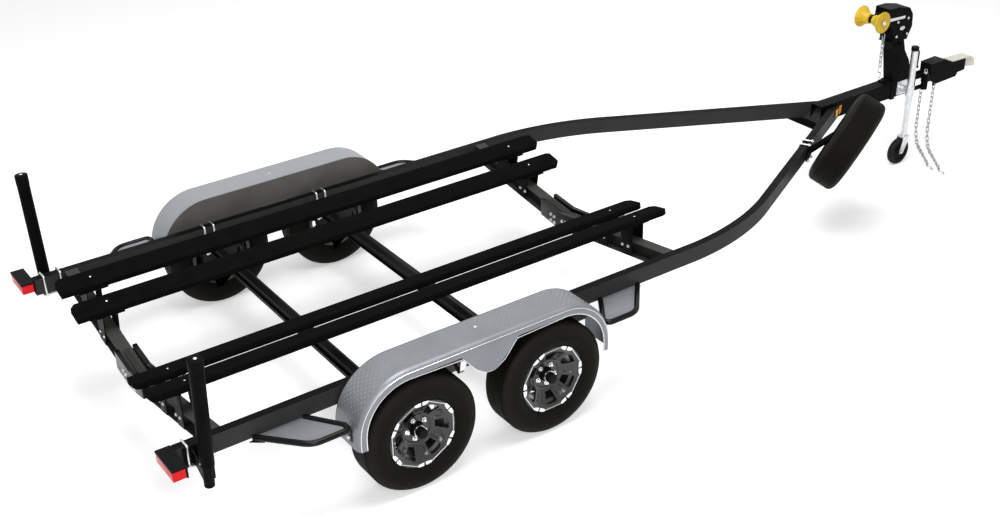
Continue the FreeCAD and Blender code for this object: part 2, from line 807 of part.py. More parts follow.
def lamp_lens():
    rear = RAIL_REAR_X - LAMP_LENGTH
    return box(
        rear + 2, RAIL_REAR_X - 10, LAMP_INNER_Y + 2, LAMP_OUTER_Y - 2,
        LAMP_TOP - LAMP_HEIGHT + 2, LAMP_TOP - 12)


# Guide posts

def guide_post():
    foot = Vector(POST_X, POST_FOOT_Y, POST_FOOT_Z + 60)
    top = Vector(POST_X, POST_TOP_Y, POST_TOP_Z)
    lean = (top - foot).normalize()
    sleeve = rod(foot + lean * POST_SOCKET, top - lean * 10, POST_RADIUS)
    inside = rod(foot + lean * (POST_SOCKET - 1), foot + lean * (POST_SOCKET + 12), SOCKET_RADIUS)
    cap = rod(top - lean * 62, top, POST_RADIUS + 3)
    return fused([sleeve, cap]).cut(inside)


def post_bracket():
    """A socket tube under the sleeve, held by two sloping arms on a rail plate."""
    foot = Vector(POST_X, POST_FOOT_Y, POST_FOOT_Z + 60)
    top = Vector(POST_X, POST_TOP_Y, POST_TOP_Z)
    lean = (top - foot).normalize()
    socket = rod(foot - lean * 58, foot + lean * (POST_SOCKET + 12), SOCKET_RADIUS)
    collar = rod(foot + lean * (POST_SOCKET - 12), foot + lean * POST_SOCKET, POST_RADIUS)
    face = RAIL_OUTER_Y + POST_PLATE
    plate = box(
        POST_X - 70, POST_X + 70, RAIL_OUTER_Y, face, RAIL_TOP - RAIL_HEIGHT, RAIL_TOP - 4)
    shapes = [socket, collar, plate]
    outline = [(face - 1, 600), (POST_FOOT_Y + 18, 556), (POST_FOOT_Y + 14, 474),
               (face + 40, 518), (face - 1, 518)]
    for x in (POST_X - SOCKET_RADIUS - 3, POST_X + SOCKET_RADIUS - 3):
        shapes.append(prism([Vector(x, y, z) for y, z in outline], Vector(6, 0, 0)))
    return fused(shapes)


# Side lamps on the slanted rails

def side_lamp(x, length, height, depth):
    point, direction, normal = rail_point(x, RAIL_WIDTH / 2)
    start = point - direction * (length / 2) - Vector(0, 0, height / 2)
    block = prism(
        [
            start,
            start + direction * length,
            start + direction * (length - 8) + normal * depth,
            start + direction * 8 + normal * depth,
        ],
        Vector(0, 0, height),
    )
    return block


# Spare wheel on the right, leaning outwards at its top

def place_spare(shape):
    """Moves a wheel made at the origin, outboard towards -Y, to the spare's place."""
    shape = shape.copy()
    shape.rotate(Vector(0, 0, 0), Vector(1, 0, 0), SPARE_LEAN)
    shape.rotate(Vector(0, 0, 0), Vector(0, 0, 1), SPARE_YAW)
    shape.translate(SPARE_CENTRE)
    return shape


def spare_carrier():
    """A stub behind the wheel and an arm to a clamp around the right rail."""
    stub = ring(Vector(0, WHEEL_OFFSET, 0), Vector(0, 90, 0), 60, 30)
    stub = place_spare(stub)
    back = place_spare(rod(Vector(0, 82, 0), Vector(0, 92, 0), 75))
    point, direction, normal = rail_point(3230, RAIL_WIDTH / 2)
    rail_face = Vector(point.x, -point.y, point.z)
    out = Vector(normal.x, -normal.y, 0)
    ahead = Vector(direction.x, -direction.y, 0)
    turned_frame = Rotation(ahead, -out, Vector(0, 0, 1))
    clamp = Part.makeBox(110, 8, RAIL_HEIGHT + 16, Vector(-55, -8, -RAIL_HEIGHT / 2 - 8))
    clamp.Placement = Placement(rail_face, turned_frame)
    end = place_spare(Part.Vertex(0, 92, 0)).Point
    start = rail_face + out * 4
    arm = rod(start, end, 22)
    behind_face = Part.makeBox(600, 60, 400, Vector(-300, 0, -200))
    behind_face.Placement = clamp.Placement
    return fused([stub, back, arm, clamp]).cut(behind_face)


# Winch stand, winch housing and bow roller

def winch_stand():
    half = STAND_HALF_WIDTH
    wall = STAND_WALL
    outline = [
        (4502, TONGUE_TOP), (4456, 900), (4424, STAND_TOP), (4560, STAND_TOP), (4592, 873),
        (4655, 780), (4688, TONGUE_TOP + 20), (4688, TONGUE_TOP)]
    inner = [
        (4508, TONGUE_TOP - 1), (4462, 900), (4432, STAND_TOP - 8), (4700, STAND_TOP - 8),
        (4700, TONGUE_TOP - 1)]
    post = side_prism(outline, -half, half).cut(side_prism(inner, -half + wall, half - wall))
    flange = box(4408, 4580, -60, 60, STAND_TOP - 8, STAND_TOP)
    foot = box(4440, 4700, -half, half, TONGUE_TOP, TONGUE_TOP + 8)
    saddle = box(4486, 4526, -TONGUE_WIDTH / 2 - 6, -TONGUE_WIDTH / 2, 508, TONGUE_TOP + 8)
    under = box(4486, 4526, -TONGUE_WIDTH / 2 - 6, TONGUE_WIDTH / 2 + 6, 508, TONGUE_TOP - TONGUE_HEIGHT)
    over = box(4486, 4526, -TONGUE_WIDTH / 2 - 6, TONGUE_WIDTH / 2 + 6, TONGUE_TOP, TONGUE_TOP + 8)
    return fused([post, flange, foot, saddle, mirrored(saddle), under, over])


def winch_housing():
    """A rounded case with a narrow nose that carries the bow roller's axle."""
    half = HOUSING_HALF_WIDTH
    outline = [
        (4424, STAND_TOP), (4408, 1072), (4336, 1150), (4340, 1236), (4440, 1234), (4566, 1208),
        (4608, 1150), (4616, 1060), (4574, STAND_TOP)]
    case = side_prism(outline, -half, half)
    corners = [
        edge for edge in case.Edges
        if abs(edge.BoundBox.YLength - 2 * half) < 0.01 and edge.BoundBox.XMin > 4500
        and edge.BoundBox.ZMin > STAND_TOP + 20]
    case = case.makeFillet(30, corners)
    nose_half = ROLLER_NECK_Y - 6
    nose_outline = [(4420, 1060), (ROLLER_X - 8, 1144), (ROLLER_X - 8, 1196), (4420, 1226)]
    nose = side_prism(nose_outline, -nose_half, nose_half)
    tip = rod(Vector(ROLLER_X, -nose_half, ROLLER_Z), Vector(ROLLER_X, nose_half, ROLLER_Z), 30)
    bore = rod(
        Vector(ROLLER_X, -100, ROLLER_Z), Vector(ROLLER_X, 100, ROLLER_Z), ROLLER_AXLE_RADIUS)
    eye = side_prism(
        [(4430, BOW_EYE_Z + 18), (BOW_CHAIN_X - 15, BOW_EYE_Z + 14), (BOW_CHAIN_X - 15, BOW_EYE_Z - 14),
         (4430, BOW_EYE_Z - 18)],
        -EYE_THICK / 2, EYE_THICK / 2)
    eye = eye.cut(rod(Vector(BOW_CHAIN_X, -9, BOW_EYE_Z), Vector(BOW_CHAIN_X, 9, BOW_EYE_Z), EYE_HOLE))
    return fused([case, nose, tip, eye]).cut(bore)


def winch_straps():
    half = HOUSING_HALF_WIDTH
    return both_sides(side_prism([(4340, 1146), (4345, 1166), (4520, 1158), (4516, 1138)], half, half + 5))


def bow_roller_axle():
    end = ROLLER_END_Y + SEAT_CLEARANCE
    axle_rod = rod(Vector(ROLLER_X, -end, ROLLER_Z), Vector(ROLLER_X, end, ROLLER_Z), ROLLER_AXLE_RADIUS)
    head = rod(Vector(ROLLER_X, end, ROLLER_Z), Vector(ROLLER_X, end + 8, ROLLER_Z), 17)
    return fused([axle_rod, head, mirrored(head)])


def bow_roller():
    bore = ROLLER_AXLE_RADIUS + RUNNING_CLEARANCE
    outline = [
        (ROLLER_NECK_Y, bore), (ROLLER_NECK_Y, ROLLER_NECK_RADIUS), (42, 42), (66, 56), (84, 72),
        (ROLLER_END_Y - 6, ROLLER_RADIUS), (ROLLER_END_Y, ROLLER_RADIUS - 6), (ROLLER_END_Y, bore)]
    return both_sides(turned(outline, Vector(ROLLER_X, 0, ROLLER_Z)))


# Jack: a pivoting tube with a sliding leg, a swivelling fork and a wheel

def jack_mount():
    """The plate on the tongue's right side and the stub that the jack swings on."""
    side = -TONGUE_WIDTH / 2
    plate = box(JACK_X - 60, JACK_X + 60, side - 8, side, 530, 636)
    stub = rod(Vector(JACK_X, side - 8, JACK_PIVOT_Z), Vector(JACK_X, side - 38, JACK_PIVOT_Z), 15)
    return fused([plate, stub])


def jack_tube():
    outer = JACK_TUBE_RADIUS
    inner = outer - JACK_TUBE_WALL
    foot = Vector(JACK_X, JACK_Y, JACK_TUBE_BOTTOM)
    top = Vector(JACK_X, JACK_Y, JACK_TUBE_TOP)
    collar = rod(
        Vector(JACK_X, JACK_Y, JACK_PIVOT_Z - 38), Vector(JACK_X, JACK_Y, JACK_PIVOT_Z + 38), outer + 6)
    side = -TONGUE_WIDTH / 2 - 8
    boss = rod(
        Vector(JACK_X, side - SEAT_CLEARANCE, JACK_PIVOT_Z), Vector(JACK_X, JACK_Y, JACK_PIVOT_Z), 27)
    shape = fused([rod(foot, top, outer), collar, boss])
    shape = shape.cut(rod(foot - Vector(0, 0, 1), top, inner))
    stub_hole = rod(
        Vector(JACK_X, side, JACK_PIVOT_Z), Vector(JACK_X, side - 31, JACK_PIVOT_Z),
        15 + RUNNING_CLEARANCE)
    return shape.cut(stub_hole)


def jack_cap():
    top = Vector(JACK_X, JACK_Y, JACK_TUBE_TOP)
    cap = rod(top, top + Vector(0, 0, 15), JACK_TUBE_RADIUS + 3)
    skirt = ring(top - Vector(0, 0, 14), top, JACK_TUBE_RADIUS + 3, JACK_TUBE_RADIUS)
    return fused([cap, skirt])


def jack_crank():
    z = JACK_TUBE_TOP - 26
    start = JACK_X + JACK_TUBE_RADIUS
    points = [
        Vector(start, JACK_Y, z), Vector(start + 26, JACK_Y, z), Vector(start + 22, JACK_Y, z - 120)]
    crank = bent_rod(points, 14, 6)
    knob = rod(points[2], points[2] - Vector(0, 0, 12), 11)
    return fused([crank, knob])


def jack_leg():
    radius = JACK_TUBE_RADIUS - JACK_TUBE_WALL - SEAT_CLEARANCE
    leg = rod(
        Vector(JACK_X, JACK_Y, JACK_LEG_BOTTOM), Vector(JACK_X, JACK_Y, JACK_TUBE_BOTTOM + 140), radius)
    stem_hole = rod(
        Vector(JACK_X, JACK_Y, JACK_LEG_BOTTOM), Vector(JACK_X, JACK_Y, JACK_LEG_BOTTOM + 72),
        10 + RUNNING_CLEARANCE)
    return leg.cut(stem_hole)


def jack_fork():
    top = JACK_LEG_BOTTOM - SEAT_CLEARANCE
    half = JACK_WHEEL_WIDTH / 2
    wheel_x = JACK_X - JACK_TRAIL
    plate_top = box(JACK_X - 34, JACK_X + 30, JACK_Y - half - 10, JACK_Y + half + 10, top - 7, top)
    outline = [
        (JACK_X - 34, top), (JACK_X + 30, top), (JACK_X + 22, top - 40),
        (wheel_x + 20, JACK_WHEEL_RADIUS - 16), (wheel_x - 18, JACK_WHEEL_RADIUS - 12),
        (wheel_x - 14, JACK_WHEEL_RADIUS + 24)]
    cheek = side_prism(outline, JACK_Y + half + 5, JACK_Y + half + 10)
    other = side_prism(outline, JACK_Y - half - 10, JACK_Y - half - 5)
    stem = rod(Vector(JACK_X, JACK_Y, top - 4), Vector(JACK_X, JACK_Y, top + 70), 10)
    axle_pin = rod(
        Vector(wheel_x, JACK_Y - half - 14, JACK_WHEEL_RADIUS),
        Vector(wheel_x, JACK_Y + half + 14, JACK_WHEEL_RADIUS), 8)
    return fused([plate_top, cheek, other, stem, axle_pin])


def jack_wheel():
    half = JACK_WHEEL_WIDTH / 2
    bore = 8 + RUNNING_CLEARANCE
    r = JACK_WHEEL_RADIUS
    outline = [
        (-half - 4, bore), (-half - 4, 20), (-10, 26), (-10, r - 30), (-half + 2, r - 24),
        (-half, r - 8), (-half + 8, r), (half - 8, r), (half, r - 8), (half - 2, r - 24),
        (10, r - 30), (10, 26), (half + 4, 20), (half + 4, bore)]
    return turned(outline, Vector(JACK_X - JACK_TRAIL, JACK_Y, r))


# Folding tongue: knuckles on both sides, with the pivot on the left and the latch on the right

def knuckle(y, z0, z1, bore):
    centre = Vector(HINGE_X, y, z0)
    return ring(centre, Vector(HINGE_X, y, z1), KNUCKLE_RADIUS, bore)


def hinge_rear():
    half = TONGUE_WIDTH / 2
    bottom = TONGUE_TOP - TONGUE_HEIGHT
    cap = box(TONGUE_FRONT_X, TONGUE_FRONT_X + 8, -half - 8, half + 8, bottom, TONGUE_TOP)
    shapes = [cap]
    bore = HINGE_PIN_RADIUS + RUNNING_CLEARANCE
    for sign in (-1, 1):
        inner = sign * half
        outer = sign * (half + 8)
        y0, y1 = min(inner, outer), max(inner, outer)
        shapes.append(box(TONGUE_FRONT_X - 70, TONGUE_FRONT_X, y0, y1, bottom, TONGUE_TOP))
        for z0, z1 in ((bottom, bottom + 34), (TONGUE_TOP - 34, TONGUE_TOP)):
            arm = box(TONGUE_FRONT_X, HINGE_X, y0, y1, z0, z1)
            eye = knuckle(sign * HINGE_Y, z0, z1, bore)
            shapes.append(arm.cut(rod(
                Vector(HINGE_X, sign * HINGE_Y, z0), Vector(HINGE_X, sign * HINGE_Y, z1), KNUCKLE_RADIUS)))
            shapes.append(eye)
    return fused(shapes)


def hinge_front():
    half = TONGUE_WIDTH / 2
    bottom = TONGUE_TOP - TONGUE_HEIGHT
    z0 = bottom + 34 + SEAT_CLEARANCE
    z1 = TONGUE_TOP - 34 - SEAT_CLEARANCE
    bore = HINGE_PIN_RADIUS + RUNNING_CLEARANCE
    shapes = []
    for sign in (-1, 1):
        y0, y1 = sorted((sign * half, sign * (half + 8)))
        shapes.append(box(HINGE_X + 4, COUPLER_REAR_X + 60, y0, y1, z0, z1))
        shapes.append(knuckle(sign * HINGE_Y, z0, z1, bore))
    shapes.append(box(COUPLER_REAR_X - 8, COUPLER_REAR_X, -half, half, z0, z1))
    leaf = fused(shapes)
    jaw = box(HINGE_X - 40, HINGE_X, -HINGE_Y - bore - 0.5, -HINGE_Y + bore + 3, z0 - 1, z1 + 1)
    return leaf.cut(jaw)


def hinge_pins():
    """The pivot pin on the left and the latch pin with a pull ring on the right."""
    bottom = TONGUE_TOP - TONGUE_HEIGHT
    pins = []
    for sign in (-1, 1):
        low = Vector(HINGE_X, sign * HINGE_Y, bottom - 10)
        high = Vector(HINGE_X, sign * HINGE_Y, TONGUE_TOP + SEAT_CLEARANCE)
        pin = rod(low, high, HINGE_PIN_RADIUS)
        head = rod(high, high + Vector(0, 0, 8), 14)
        pins.append(fused([pin, head]))
    return several(pins)


def actuator_case():
    half = TONGUE_WIDTH / 2
    outline = [
        (COUPLER_REAR_X, 566), (COUPLER_REAR_X, 682), (5085, 686), (COVER_REAR_X, COVER_Z),
        (NOSE_REAR_X, COVER_Z - 6),
        (NOSE_REAR_X, 546), (5258, 542), (5240, 514), (5015, 508), (4936, 556)]
    case = side_prism(outline, -half, half)
    lug_outline = [(CHAIN_X - 22, 550), (CHAIN_X + 22, 550), (CHAIN_X + 16, 503), (CHAIN_X - 16, 503)]
    lug = side_prism(lug_outline, half, half + EYE_THICK)
    hole = rod(Vector(CHAIN_X, half, CHAIN_EYE_Z), Vector(CHAIN_X, half + EYE_THICK, CHAIN_EYE_Z), EYE_HOLE)
    lug = lug.cut(hole)
    return fused([case, lug, mirrored(lug)])


def coupler_nose():
    """The forged nose that drops over the tow ball, with its spherical socket open below."""
    arm = side_prism([(NOSE_REAR_X, 560), (NOSE_REAR_X, 630), (5400, 630), (5470, 600), (5470, 560)], -32, 32)
    cover = side_prism(
        [(COVER_REAR_X, COVER_Z), (COVER_REAR_X, COVER_Z + 7), (NOSE_REAR_X, COVER_Z + 1),
         (5412, COVER_Z - 5), (5412, COVER_Z - 14), (NOSE_REAR_X, COVER_Z - 14), (NOSE_REAR_X, COVER_Z - 6)],
        -44, 44)
    centre = Vector(BALL_X, 0, SOCKET_CENTRE_Z)
    below = Vector(BALL_X, 0, SOCKET_MOUTH_Z)
    dome = Part.makeSphere(38, centre, Vector(0, 0, 1), 0, 90, 360)
    skirt = rod(below, centre, 38)
    shape = fused([arm, cover, dome, skirt])
    socket = Part.makeSphere(BALL_SOCKET_RADIUS, centre)
    mouth = rod(below - Vector(0, 0, 1), centre, BALL_SOCKET_RADIUS)
    return shape.cut(socket).cut(mouth)


# Chains: links of flat facets, each turned a quarter turn from the last

def chain_link():
    """One link in the XZ plane with its long axis along X, of three-sided wire."""
    straight = LINK_INNER / 2 - LINK_SLOT / 2
    bend = LINK_SLOT / 2 + LINK_WIRE / 2
    path = [(straight, bend), (straight + bend, 0), (straight, -bend)]
    path += [(-x, -z) for x, z in path]
    half = LINK_WIRE / 2
    rings = []
    count = len(path)
    for i, (x, z) in enumerate(path):
        before = Vector(x - path[i - 1][0], 0, z - path[i - 1][1]).normalize()
        after_point = path[(i + 1) % count]
        after = Vector(after_point[0] - x, 0, after_point[1] - z).normalize()
        tangent = (before + after).normalize()
        outward = Vector(-tangent.z, 0, tangent.x)
        if outward.dot(Vector(x, 0, z)) < 0:
            outward = outward * -1
        stretch = 1 / max(0.5, before.dot(tangent))
        point = Vector(x, 0, z)
        rings.append([
            point + outward * (half * stretch),
            point - outward * (half * 0.5 * stretch) + Vector(0, half * 0.9, 0),
            point - outward * (half * 0.5 * stretch) - Vector(0, half * 0.9, 0),
        ])
    return facet_ring(rings)


def chain_along(path, across, rolls):
    """Links laid along a path in one upright plane, one for each of the rolls about the path."""
    link = chain_link()
    pitch = LINK_INNER - LINK_GAP
    starts = []
    length = 0
    for edge in path.Edges:
        starts.append((length, edge))
        length += edge.Length
    links = []
    for i, roll in enumerate(rolls):
        at = pitch * (i + 0.5)
        start, edge = [pair for pair in starts if pair[0] <= at][-1]
        place = edge.getParameterByLength(min(at - start, edge.Length))
        tangent = edge.tangentAt(place)
        copy = link.copy()
        copy.rotate(Vector(0, 0, 0), Vector(1, 0, 0), roll)
        turn = Rotation(tangent, across, tangent.cross(across))
        copy.Placement = Placement(edge.valueAt(place), turn).multiply(copy.Placement)
        links.append(copy)
    return links


def chain_hook(link_end, direction, across):
    """An S hook around the end of the last link, which lies square to the hook's plane."""
    turn = LINK_WIRE / 2 * math.sqrt(2) + HOOK_RADIUS + HOOK_CLEARANCE
    start = link_end - direction * turn + across * 8
    points = [
        start,
        start - across * (8 + turn + 2),
        start - across * (8 + turn + 2) + direction * (turn + 34),
        start + across * 16 + direction * (turn + 48),
        start + across * 16 + direction * (turn + 84),
        start - across * 6 + direction * (turn + 80),
    ]
    return bent_rod(points, HOOK_RADIUS + 2, HOOK_RADIUS)


def floor_run():
    """The way that the spare length of the safety chains lies on the ground, and its square."""
    turn = math.radians(CHAIN_FLOOR_TURN)
    return Vector(-math.cos(turn), -math.sin(turn), 0), Vector(math.sin(turn), -math.cos(turn), 0)


def hung_from(hole_z):
    """The height at which a chain's path starts, so that its first link rests in an eye's hole."""
    half = LINK_WIRE / 2
    rest = hole_z - math.sqrt(EYE_HOLE ** 2 - (0.9 * half) ** 2)
    link_end = rest + EYE_THICK / 2 + 0.5 * half * math.sqrt(2) + RUNNING_CLEARANCE
    return link_end - LINK_INNER / 2 - half + (LINK_INNER - LINK_GAP) / 2


def chain_path(side):
    direction, across = floor_run()
    top = Vector(CHAIN_X, side * CHAIN_Y, hung_from(CHAIN_EYE_Z))
    corner = Vector(CHAIN_X, side * CHAIN_Y, CHAIN_REST_Z)
    return bent_path([top, corner, corner + direction * 600], [CHAIN_BEND])


def safety_rolls():
    """Quarter turns, with a slow twist from the eye to the ground and a last link that stands."""
    rolls = []
    for i in range(CHAIN_LINKS):
        twist = -45 + (CHAIN_FLOOR_TURN - 45) * max(0, 1 - i / 9)
        twist += 45 * max(0, (i - 15) / (CHAIN_LINKS - 16))
        rolls.append(twist + 90 * i)
    return rolls


def safety_chains():
    direction, across = floor_run()
    links = []
    for side in (-1, 1):
        links.extend(chain_along(chain_path(side), across, safety_rolls()))
    return several(links)


def safety_chain_hooks():
    direction, across = floor_run()
    reach = LINK_INNER / 2 + LINK_WIRE / 2
    hooks = []
    for side in (-1, 1):
        path = chain_path(side)
        run = path.Edges[-1]
        centre = (LINK_INNER - LINK_GAP) * (CHAIN_LINKS - 0.5) - path.Edges[0].Length - path.Edges[1].Length
        link_end = run.valueAt(run.getParameterByLength(centre + reach))
        link_end.z = HOOK_Z
        hooks.append(chain_hook(link_end, direction, across))
    return several(hooks)


def bow_chain():
    top = Vector(BOW_CHAIN_X, 0, hung_from(BOW_EYE_Z))
    path = Part.Wire([Part.LineSegment(top, top - Vector(0, 0, 500)).toShape()])
    rolls = [90 * (i + 1) for i in range(BOW_CHAIN_LINKS)]
    return several(chain_along(path, Vector(0, 1, 0), rolls))


def bow_chain_hook():
    pitch = LINK_INNER - LINK_GAP
    last = hung_from(BOW_EYE_Z) - pitch * (BOW_CHAIN_LINKS - 0.5)
    link_end = Vector(BOW_CHAIN_X, 0, last - LINK_INNER / 2 - LINK_WIRE / 2)
    return chain_hook(link_end, Vector(0, 0, -1), Vector(1, 0, 0))


def build():
    place_wheels()
    parts["axles"] = several([axle(-AXLE_SPACING / 2), axle(AXLE_SPACING / 2)])
    parts["side_rails"] = both_sides(side_rail())
    parts["tongue_beam"] = tongue_beam()
    parts["tongue_gusset"] = tongue_gusset()
    parts["vee_crossmembers"] = several([
        vee_crossmember(REAR_CROSS_FRONT_X, REAR_CROSS_CENTRE_TOP),
        vee_crossmember(FRONT_CROSS_FRONT_X, FRONT_CROSS_CENTRE_TOP)])
    parts["level_crossmembers"] = several([
        level_crossmember(MID_REAR_FRONT_X), level_crossmember(MID_FRONT_FRONT_X)])
    boards = [bunk(INNER_BUNK_Y, INNER_BUNK_TOP), bunk(OUTER_BUNK_Y, OUTER_BUNK_TOP)]
    parts["bunks"] = several([both_sides(board) for board in boards])
    brackets = []
    for y, top in ((INNER_BUNK_Y, INNER_BUNK_TOP), (OUTER_BUNK_Y, OUTER_BUNK_TOP)):
        brackets.append(bunk_bracket(y, top, REAR_CROSS_FRONT_X, REAR_CROSS_CENTRE_TOP))
        brackets.append(bunk_bracket(y, top, FRONT_CROSS_FRONT_X, FRONT_CROSS_CENTRE_TOP))
    parts["bunk_brackets"] = several([both_sides(bracket) for bracket in brackets])
    parts["frame_u_bolts"] = frame_u_bolts()
    parts["fenders"] = both_sides(fender())
    parts["fender_panels"] = both_sides(fender_panel())
    parts["step_frames"] = several([both_sides(step_frame(sign)) for sign in (-1, 1)])
    parts["step_plates"] = several([both_sides(step_plate(sign)) for sign in (-1, 1)])
    parts["tail_lamp_housings"] = both_sides(lamp_housing())
    parts["tail_lamp_lenses"] = both_sides(lamp_lens())
    parts["guide_posts"] = both_sides(guide_post())
    parts["guide_post_brackets"] = both_sides(post_bracket())
    parts["side_lamps"] = several([
        both_sides(side_lamp(3850, 58, 36, 16)), both_sides(side_lamp(3788, 52, 44, 10))])
    parts["spare_tyre"] = place_spare(tyre_solid())
    parts["spare_wheel"] = place_spare(wheel_solid())
    parts["spare_carrier"] = spare_carrier()
    parts["winch_stand"] = winch_stand()
    parts["winch_housing"] = winch_housing()
    parts["winch_straps"] = winch_straps()
    parts["bow_roller_axle"] = bow_roller_axle()
    parts["bow_roller"] = bow_roller()
    parts["bow_chain"] = bow_chain()
    parts["bow_chain_hook"] = bow_chain_hook()
    parts["jack_mount"] = jack_mount()
    parts["jack_tube"] = jack_tube()
    parts["jack_cap"] = jack_cap()
    parts["jack_crank"] = jack_crank()
    parts["jack_leg"] = jack_leg()
    parts["jack_fork"] = jack_fork()
    parts["jack_wheel"] = jack_wheel()
    parts["hinge_rear"] = hinge_rear()
    parts["hinge_front"] = hinge_front()
    parts["hinge_pins"] = hinge_pins()
    parts["actuator_case"] = actuator_case()
    parts["coupler_nose"] = coupler_nose()
    parts["safety_chains"] = safety_chains()
    parts["safety_chain_hooks"] = safety_chain_hooks()


def overall_middle():
    """The x halfway between the rearmost and the foremost point of the trailer."""
    boxes = [shape.optimalBoundingBox(False) for shape in parts.values()]
    return (min(b.XMin for b in boxes) + max(b.XMax for b in boxes)) / 2


build()
shift = overall_middle()
os.makedirs("parts", exist_ok=True)
for name, shape in parts.items():
    shape.translate(Vector(-shift, 0, 0))
    shape.exportStep(f"parts/{name}.step")
print(f"{len(parts)} parts, moved back by {shift:.3f} mm")
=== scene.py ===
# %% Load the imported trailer
import json
import math

import bmesh
import bpy
from mathutils import Euler, Matrix, Vector

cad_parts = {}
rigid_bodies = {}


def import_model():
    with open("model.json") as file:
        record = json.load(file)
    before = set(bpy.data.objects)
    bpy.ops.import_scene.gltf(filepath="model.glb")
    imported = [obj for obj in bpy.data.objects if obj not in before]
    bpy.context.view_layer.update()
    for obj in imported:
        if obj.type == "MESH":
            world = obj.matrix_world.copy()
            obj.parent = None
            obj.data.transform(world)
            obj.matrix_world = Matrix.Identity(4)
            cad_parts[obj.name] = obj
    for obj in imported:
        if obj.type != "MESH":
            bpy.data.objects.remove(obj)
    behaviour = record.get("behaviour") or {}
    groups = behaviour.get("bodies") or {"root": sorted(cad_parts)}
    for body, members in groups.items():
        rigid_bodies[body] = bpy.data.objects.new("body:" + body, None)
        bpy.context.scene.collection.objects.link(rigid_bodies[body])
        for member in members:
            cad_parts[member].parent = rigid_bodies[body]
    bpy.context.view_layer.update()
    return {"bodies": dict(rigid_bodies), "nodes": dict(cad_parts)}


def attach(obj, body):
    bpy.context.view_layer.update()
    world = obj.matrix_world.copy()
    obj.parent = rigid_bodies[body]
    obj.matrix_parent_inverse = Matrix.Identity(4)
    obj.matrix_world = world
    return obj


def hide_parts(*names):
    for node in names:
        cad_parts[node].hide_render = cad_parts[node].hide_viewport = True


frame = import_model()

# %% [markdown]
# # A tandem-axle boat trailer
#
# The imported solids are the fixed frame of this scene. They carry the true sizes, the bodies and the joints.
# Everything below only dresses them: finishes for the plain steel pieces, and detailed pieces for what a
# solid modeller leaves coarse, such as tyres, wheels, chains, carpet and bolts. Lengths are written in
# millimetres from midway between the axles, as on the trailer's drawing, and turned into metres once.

MM = 0.001
DRAWING_SHIFT = 1907.5


def at(x, y, z):
    """A point of the drawing, in millimetres, as a point of the scene, in metres."""
    return Vector((x - DRAWING_SHIFT, y, z)) * MM


nodes, bodies = frame["nodes"], frame["bodies"]

# %% [markdown]
# ## Camera
#
# The camera was found by matching straight edges and circles of known size with the picture, so its place
# is a measured point and its turn is three angles. Writing the three camera axes straight into a matrix
# avoids any doubt about the order of Euler angles.

# %% Camera at the picture's angle
CAMERA_PLACE = Vector((-5.1171, -6.01697, 4.38089))
CAMERA_YAW, CAMERA_PITCH, CAMERA_ROLL = 0.606126, 0.505599, -0.0226538
LENS, SENSOR = 48.411, 36

forward = Vector((
    math.cos(CAMERA_PITCH) * math.sin(CAMERA_YAW), math.cos(CAMERA_PITCH) * math.cos(CAMERA_YAW),
    -math.sin(CAMERA_PITCH)))
level = Vector((math.cos(CAMERA_YAW), -math.sin(CAMERA_YAW), 0))
above = level.cross(forward)
right = level * math.cos(CAMERA_ROLL) + above * math.sin(CAMERA_ROLL)
up = above * math.cos(CAMERA_ROLL) - level * math.sin(CAMERA_ROLL)
camera = bpy.data.objects.new("camera", bpy.data.cameras.new("camera"))
camera.data.lens = LENS
camera.data.sensor_width = SENSOR
camera.data.clip_end = 100
camera.matrix_world = Matrix.Translation(CAMERA_PLACE) @ Matrix((right, up, -forward)).transposed().to_4x4()
bpy.context.scene.collection.objects.link(camera)
bpy.context.scene.camera = camera
bpy.context.scene.view_settings.view_transform = "Standard"
print("camera", tuple(round(v, 3) for v in camera.location))

# %% [markdown]
# ## Node trees as sums
#
# A finish is a small calculation on a point of the surface, and a row of bolts is a small calculation on a
# row of points. Written as nodes both take pages, so two small classes let them be written as they are
# thought: a `Wire` is one socket that can be added, multiplied or divided, and `Tree.node` makes any other
# node from its type, its settings and its inputs.

# %% Wires and trees
class Wire:
    """One output socket. Arithmetic on it adds Math nodes to its tree."""

    def __init__(self, tree, socket):
        self.tree = tree
        self.socket = socket

    def maths(self, operation, *values):
        return self.tree.node("ShaderNodeMath", {"operation": operation}, dict(enumerate(values)))

    def __add__(self, other):
        return self.maths("ADD", self, other)

    def __radd__(self, other):
        return self.maths("ADD", other, self)

    def __sub__(self, other):
        return self.maths("SUBTRACT", self, other)

    def __rsub__(self, other):
        return self.maths("SUBTRACT", other, self)

    def __mul__(self, other):
        return self.maths("MULTIPLY", self, other)

    def __rmul__(self, other):
        return self.maths("MULTIPLY", other, self)

    def __truediv__(self, other):
        return self.maths("DIVIDE", self, other)

    def sine(self):
        return self.maths("SINE", self)

    def root(self):
        return self.maths("SQRT", self)

    def ramp(self, low, high):
        """0 below low, 1 above high, straight between."""
        return self.tree.node("ShaderNodeMapRange", None, {"Value": self, "From Min": low, "From Max": high})


class Tree:
    """A node tree that is filled by name."""

    def __init__(self, tree):
        self.tree = tree

    def feed(self, socket, value):
        if isinstance(value, Wire):
            self.tree.links.new(value.socket, socket)
        else:
            socket.default_value = value

    def node(self, kind, settings=None, inputs=None, output=0):
        """A node from its type, its settings and its inputs by name or number, and one of its outputs."""
        made = self.tree.nodes.new(kind)
        for name, value in (settings or {}).items():
            setattr(made, name, value)
        for key, value in (inputs or {}).items():
            self.feed(made.inputs[key], value)
        return Wire(self, made.outputs[output])


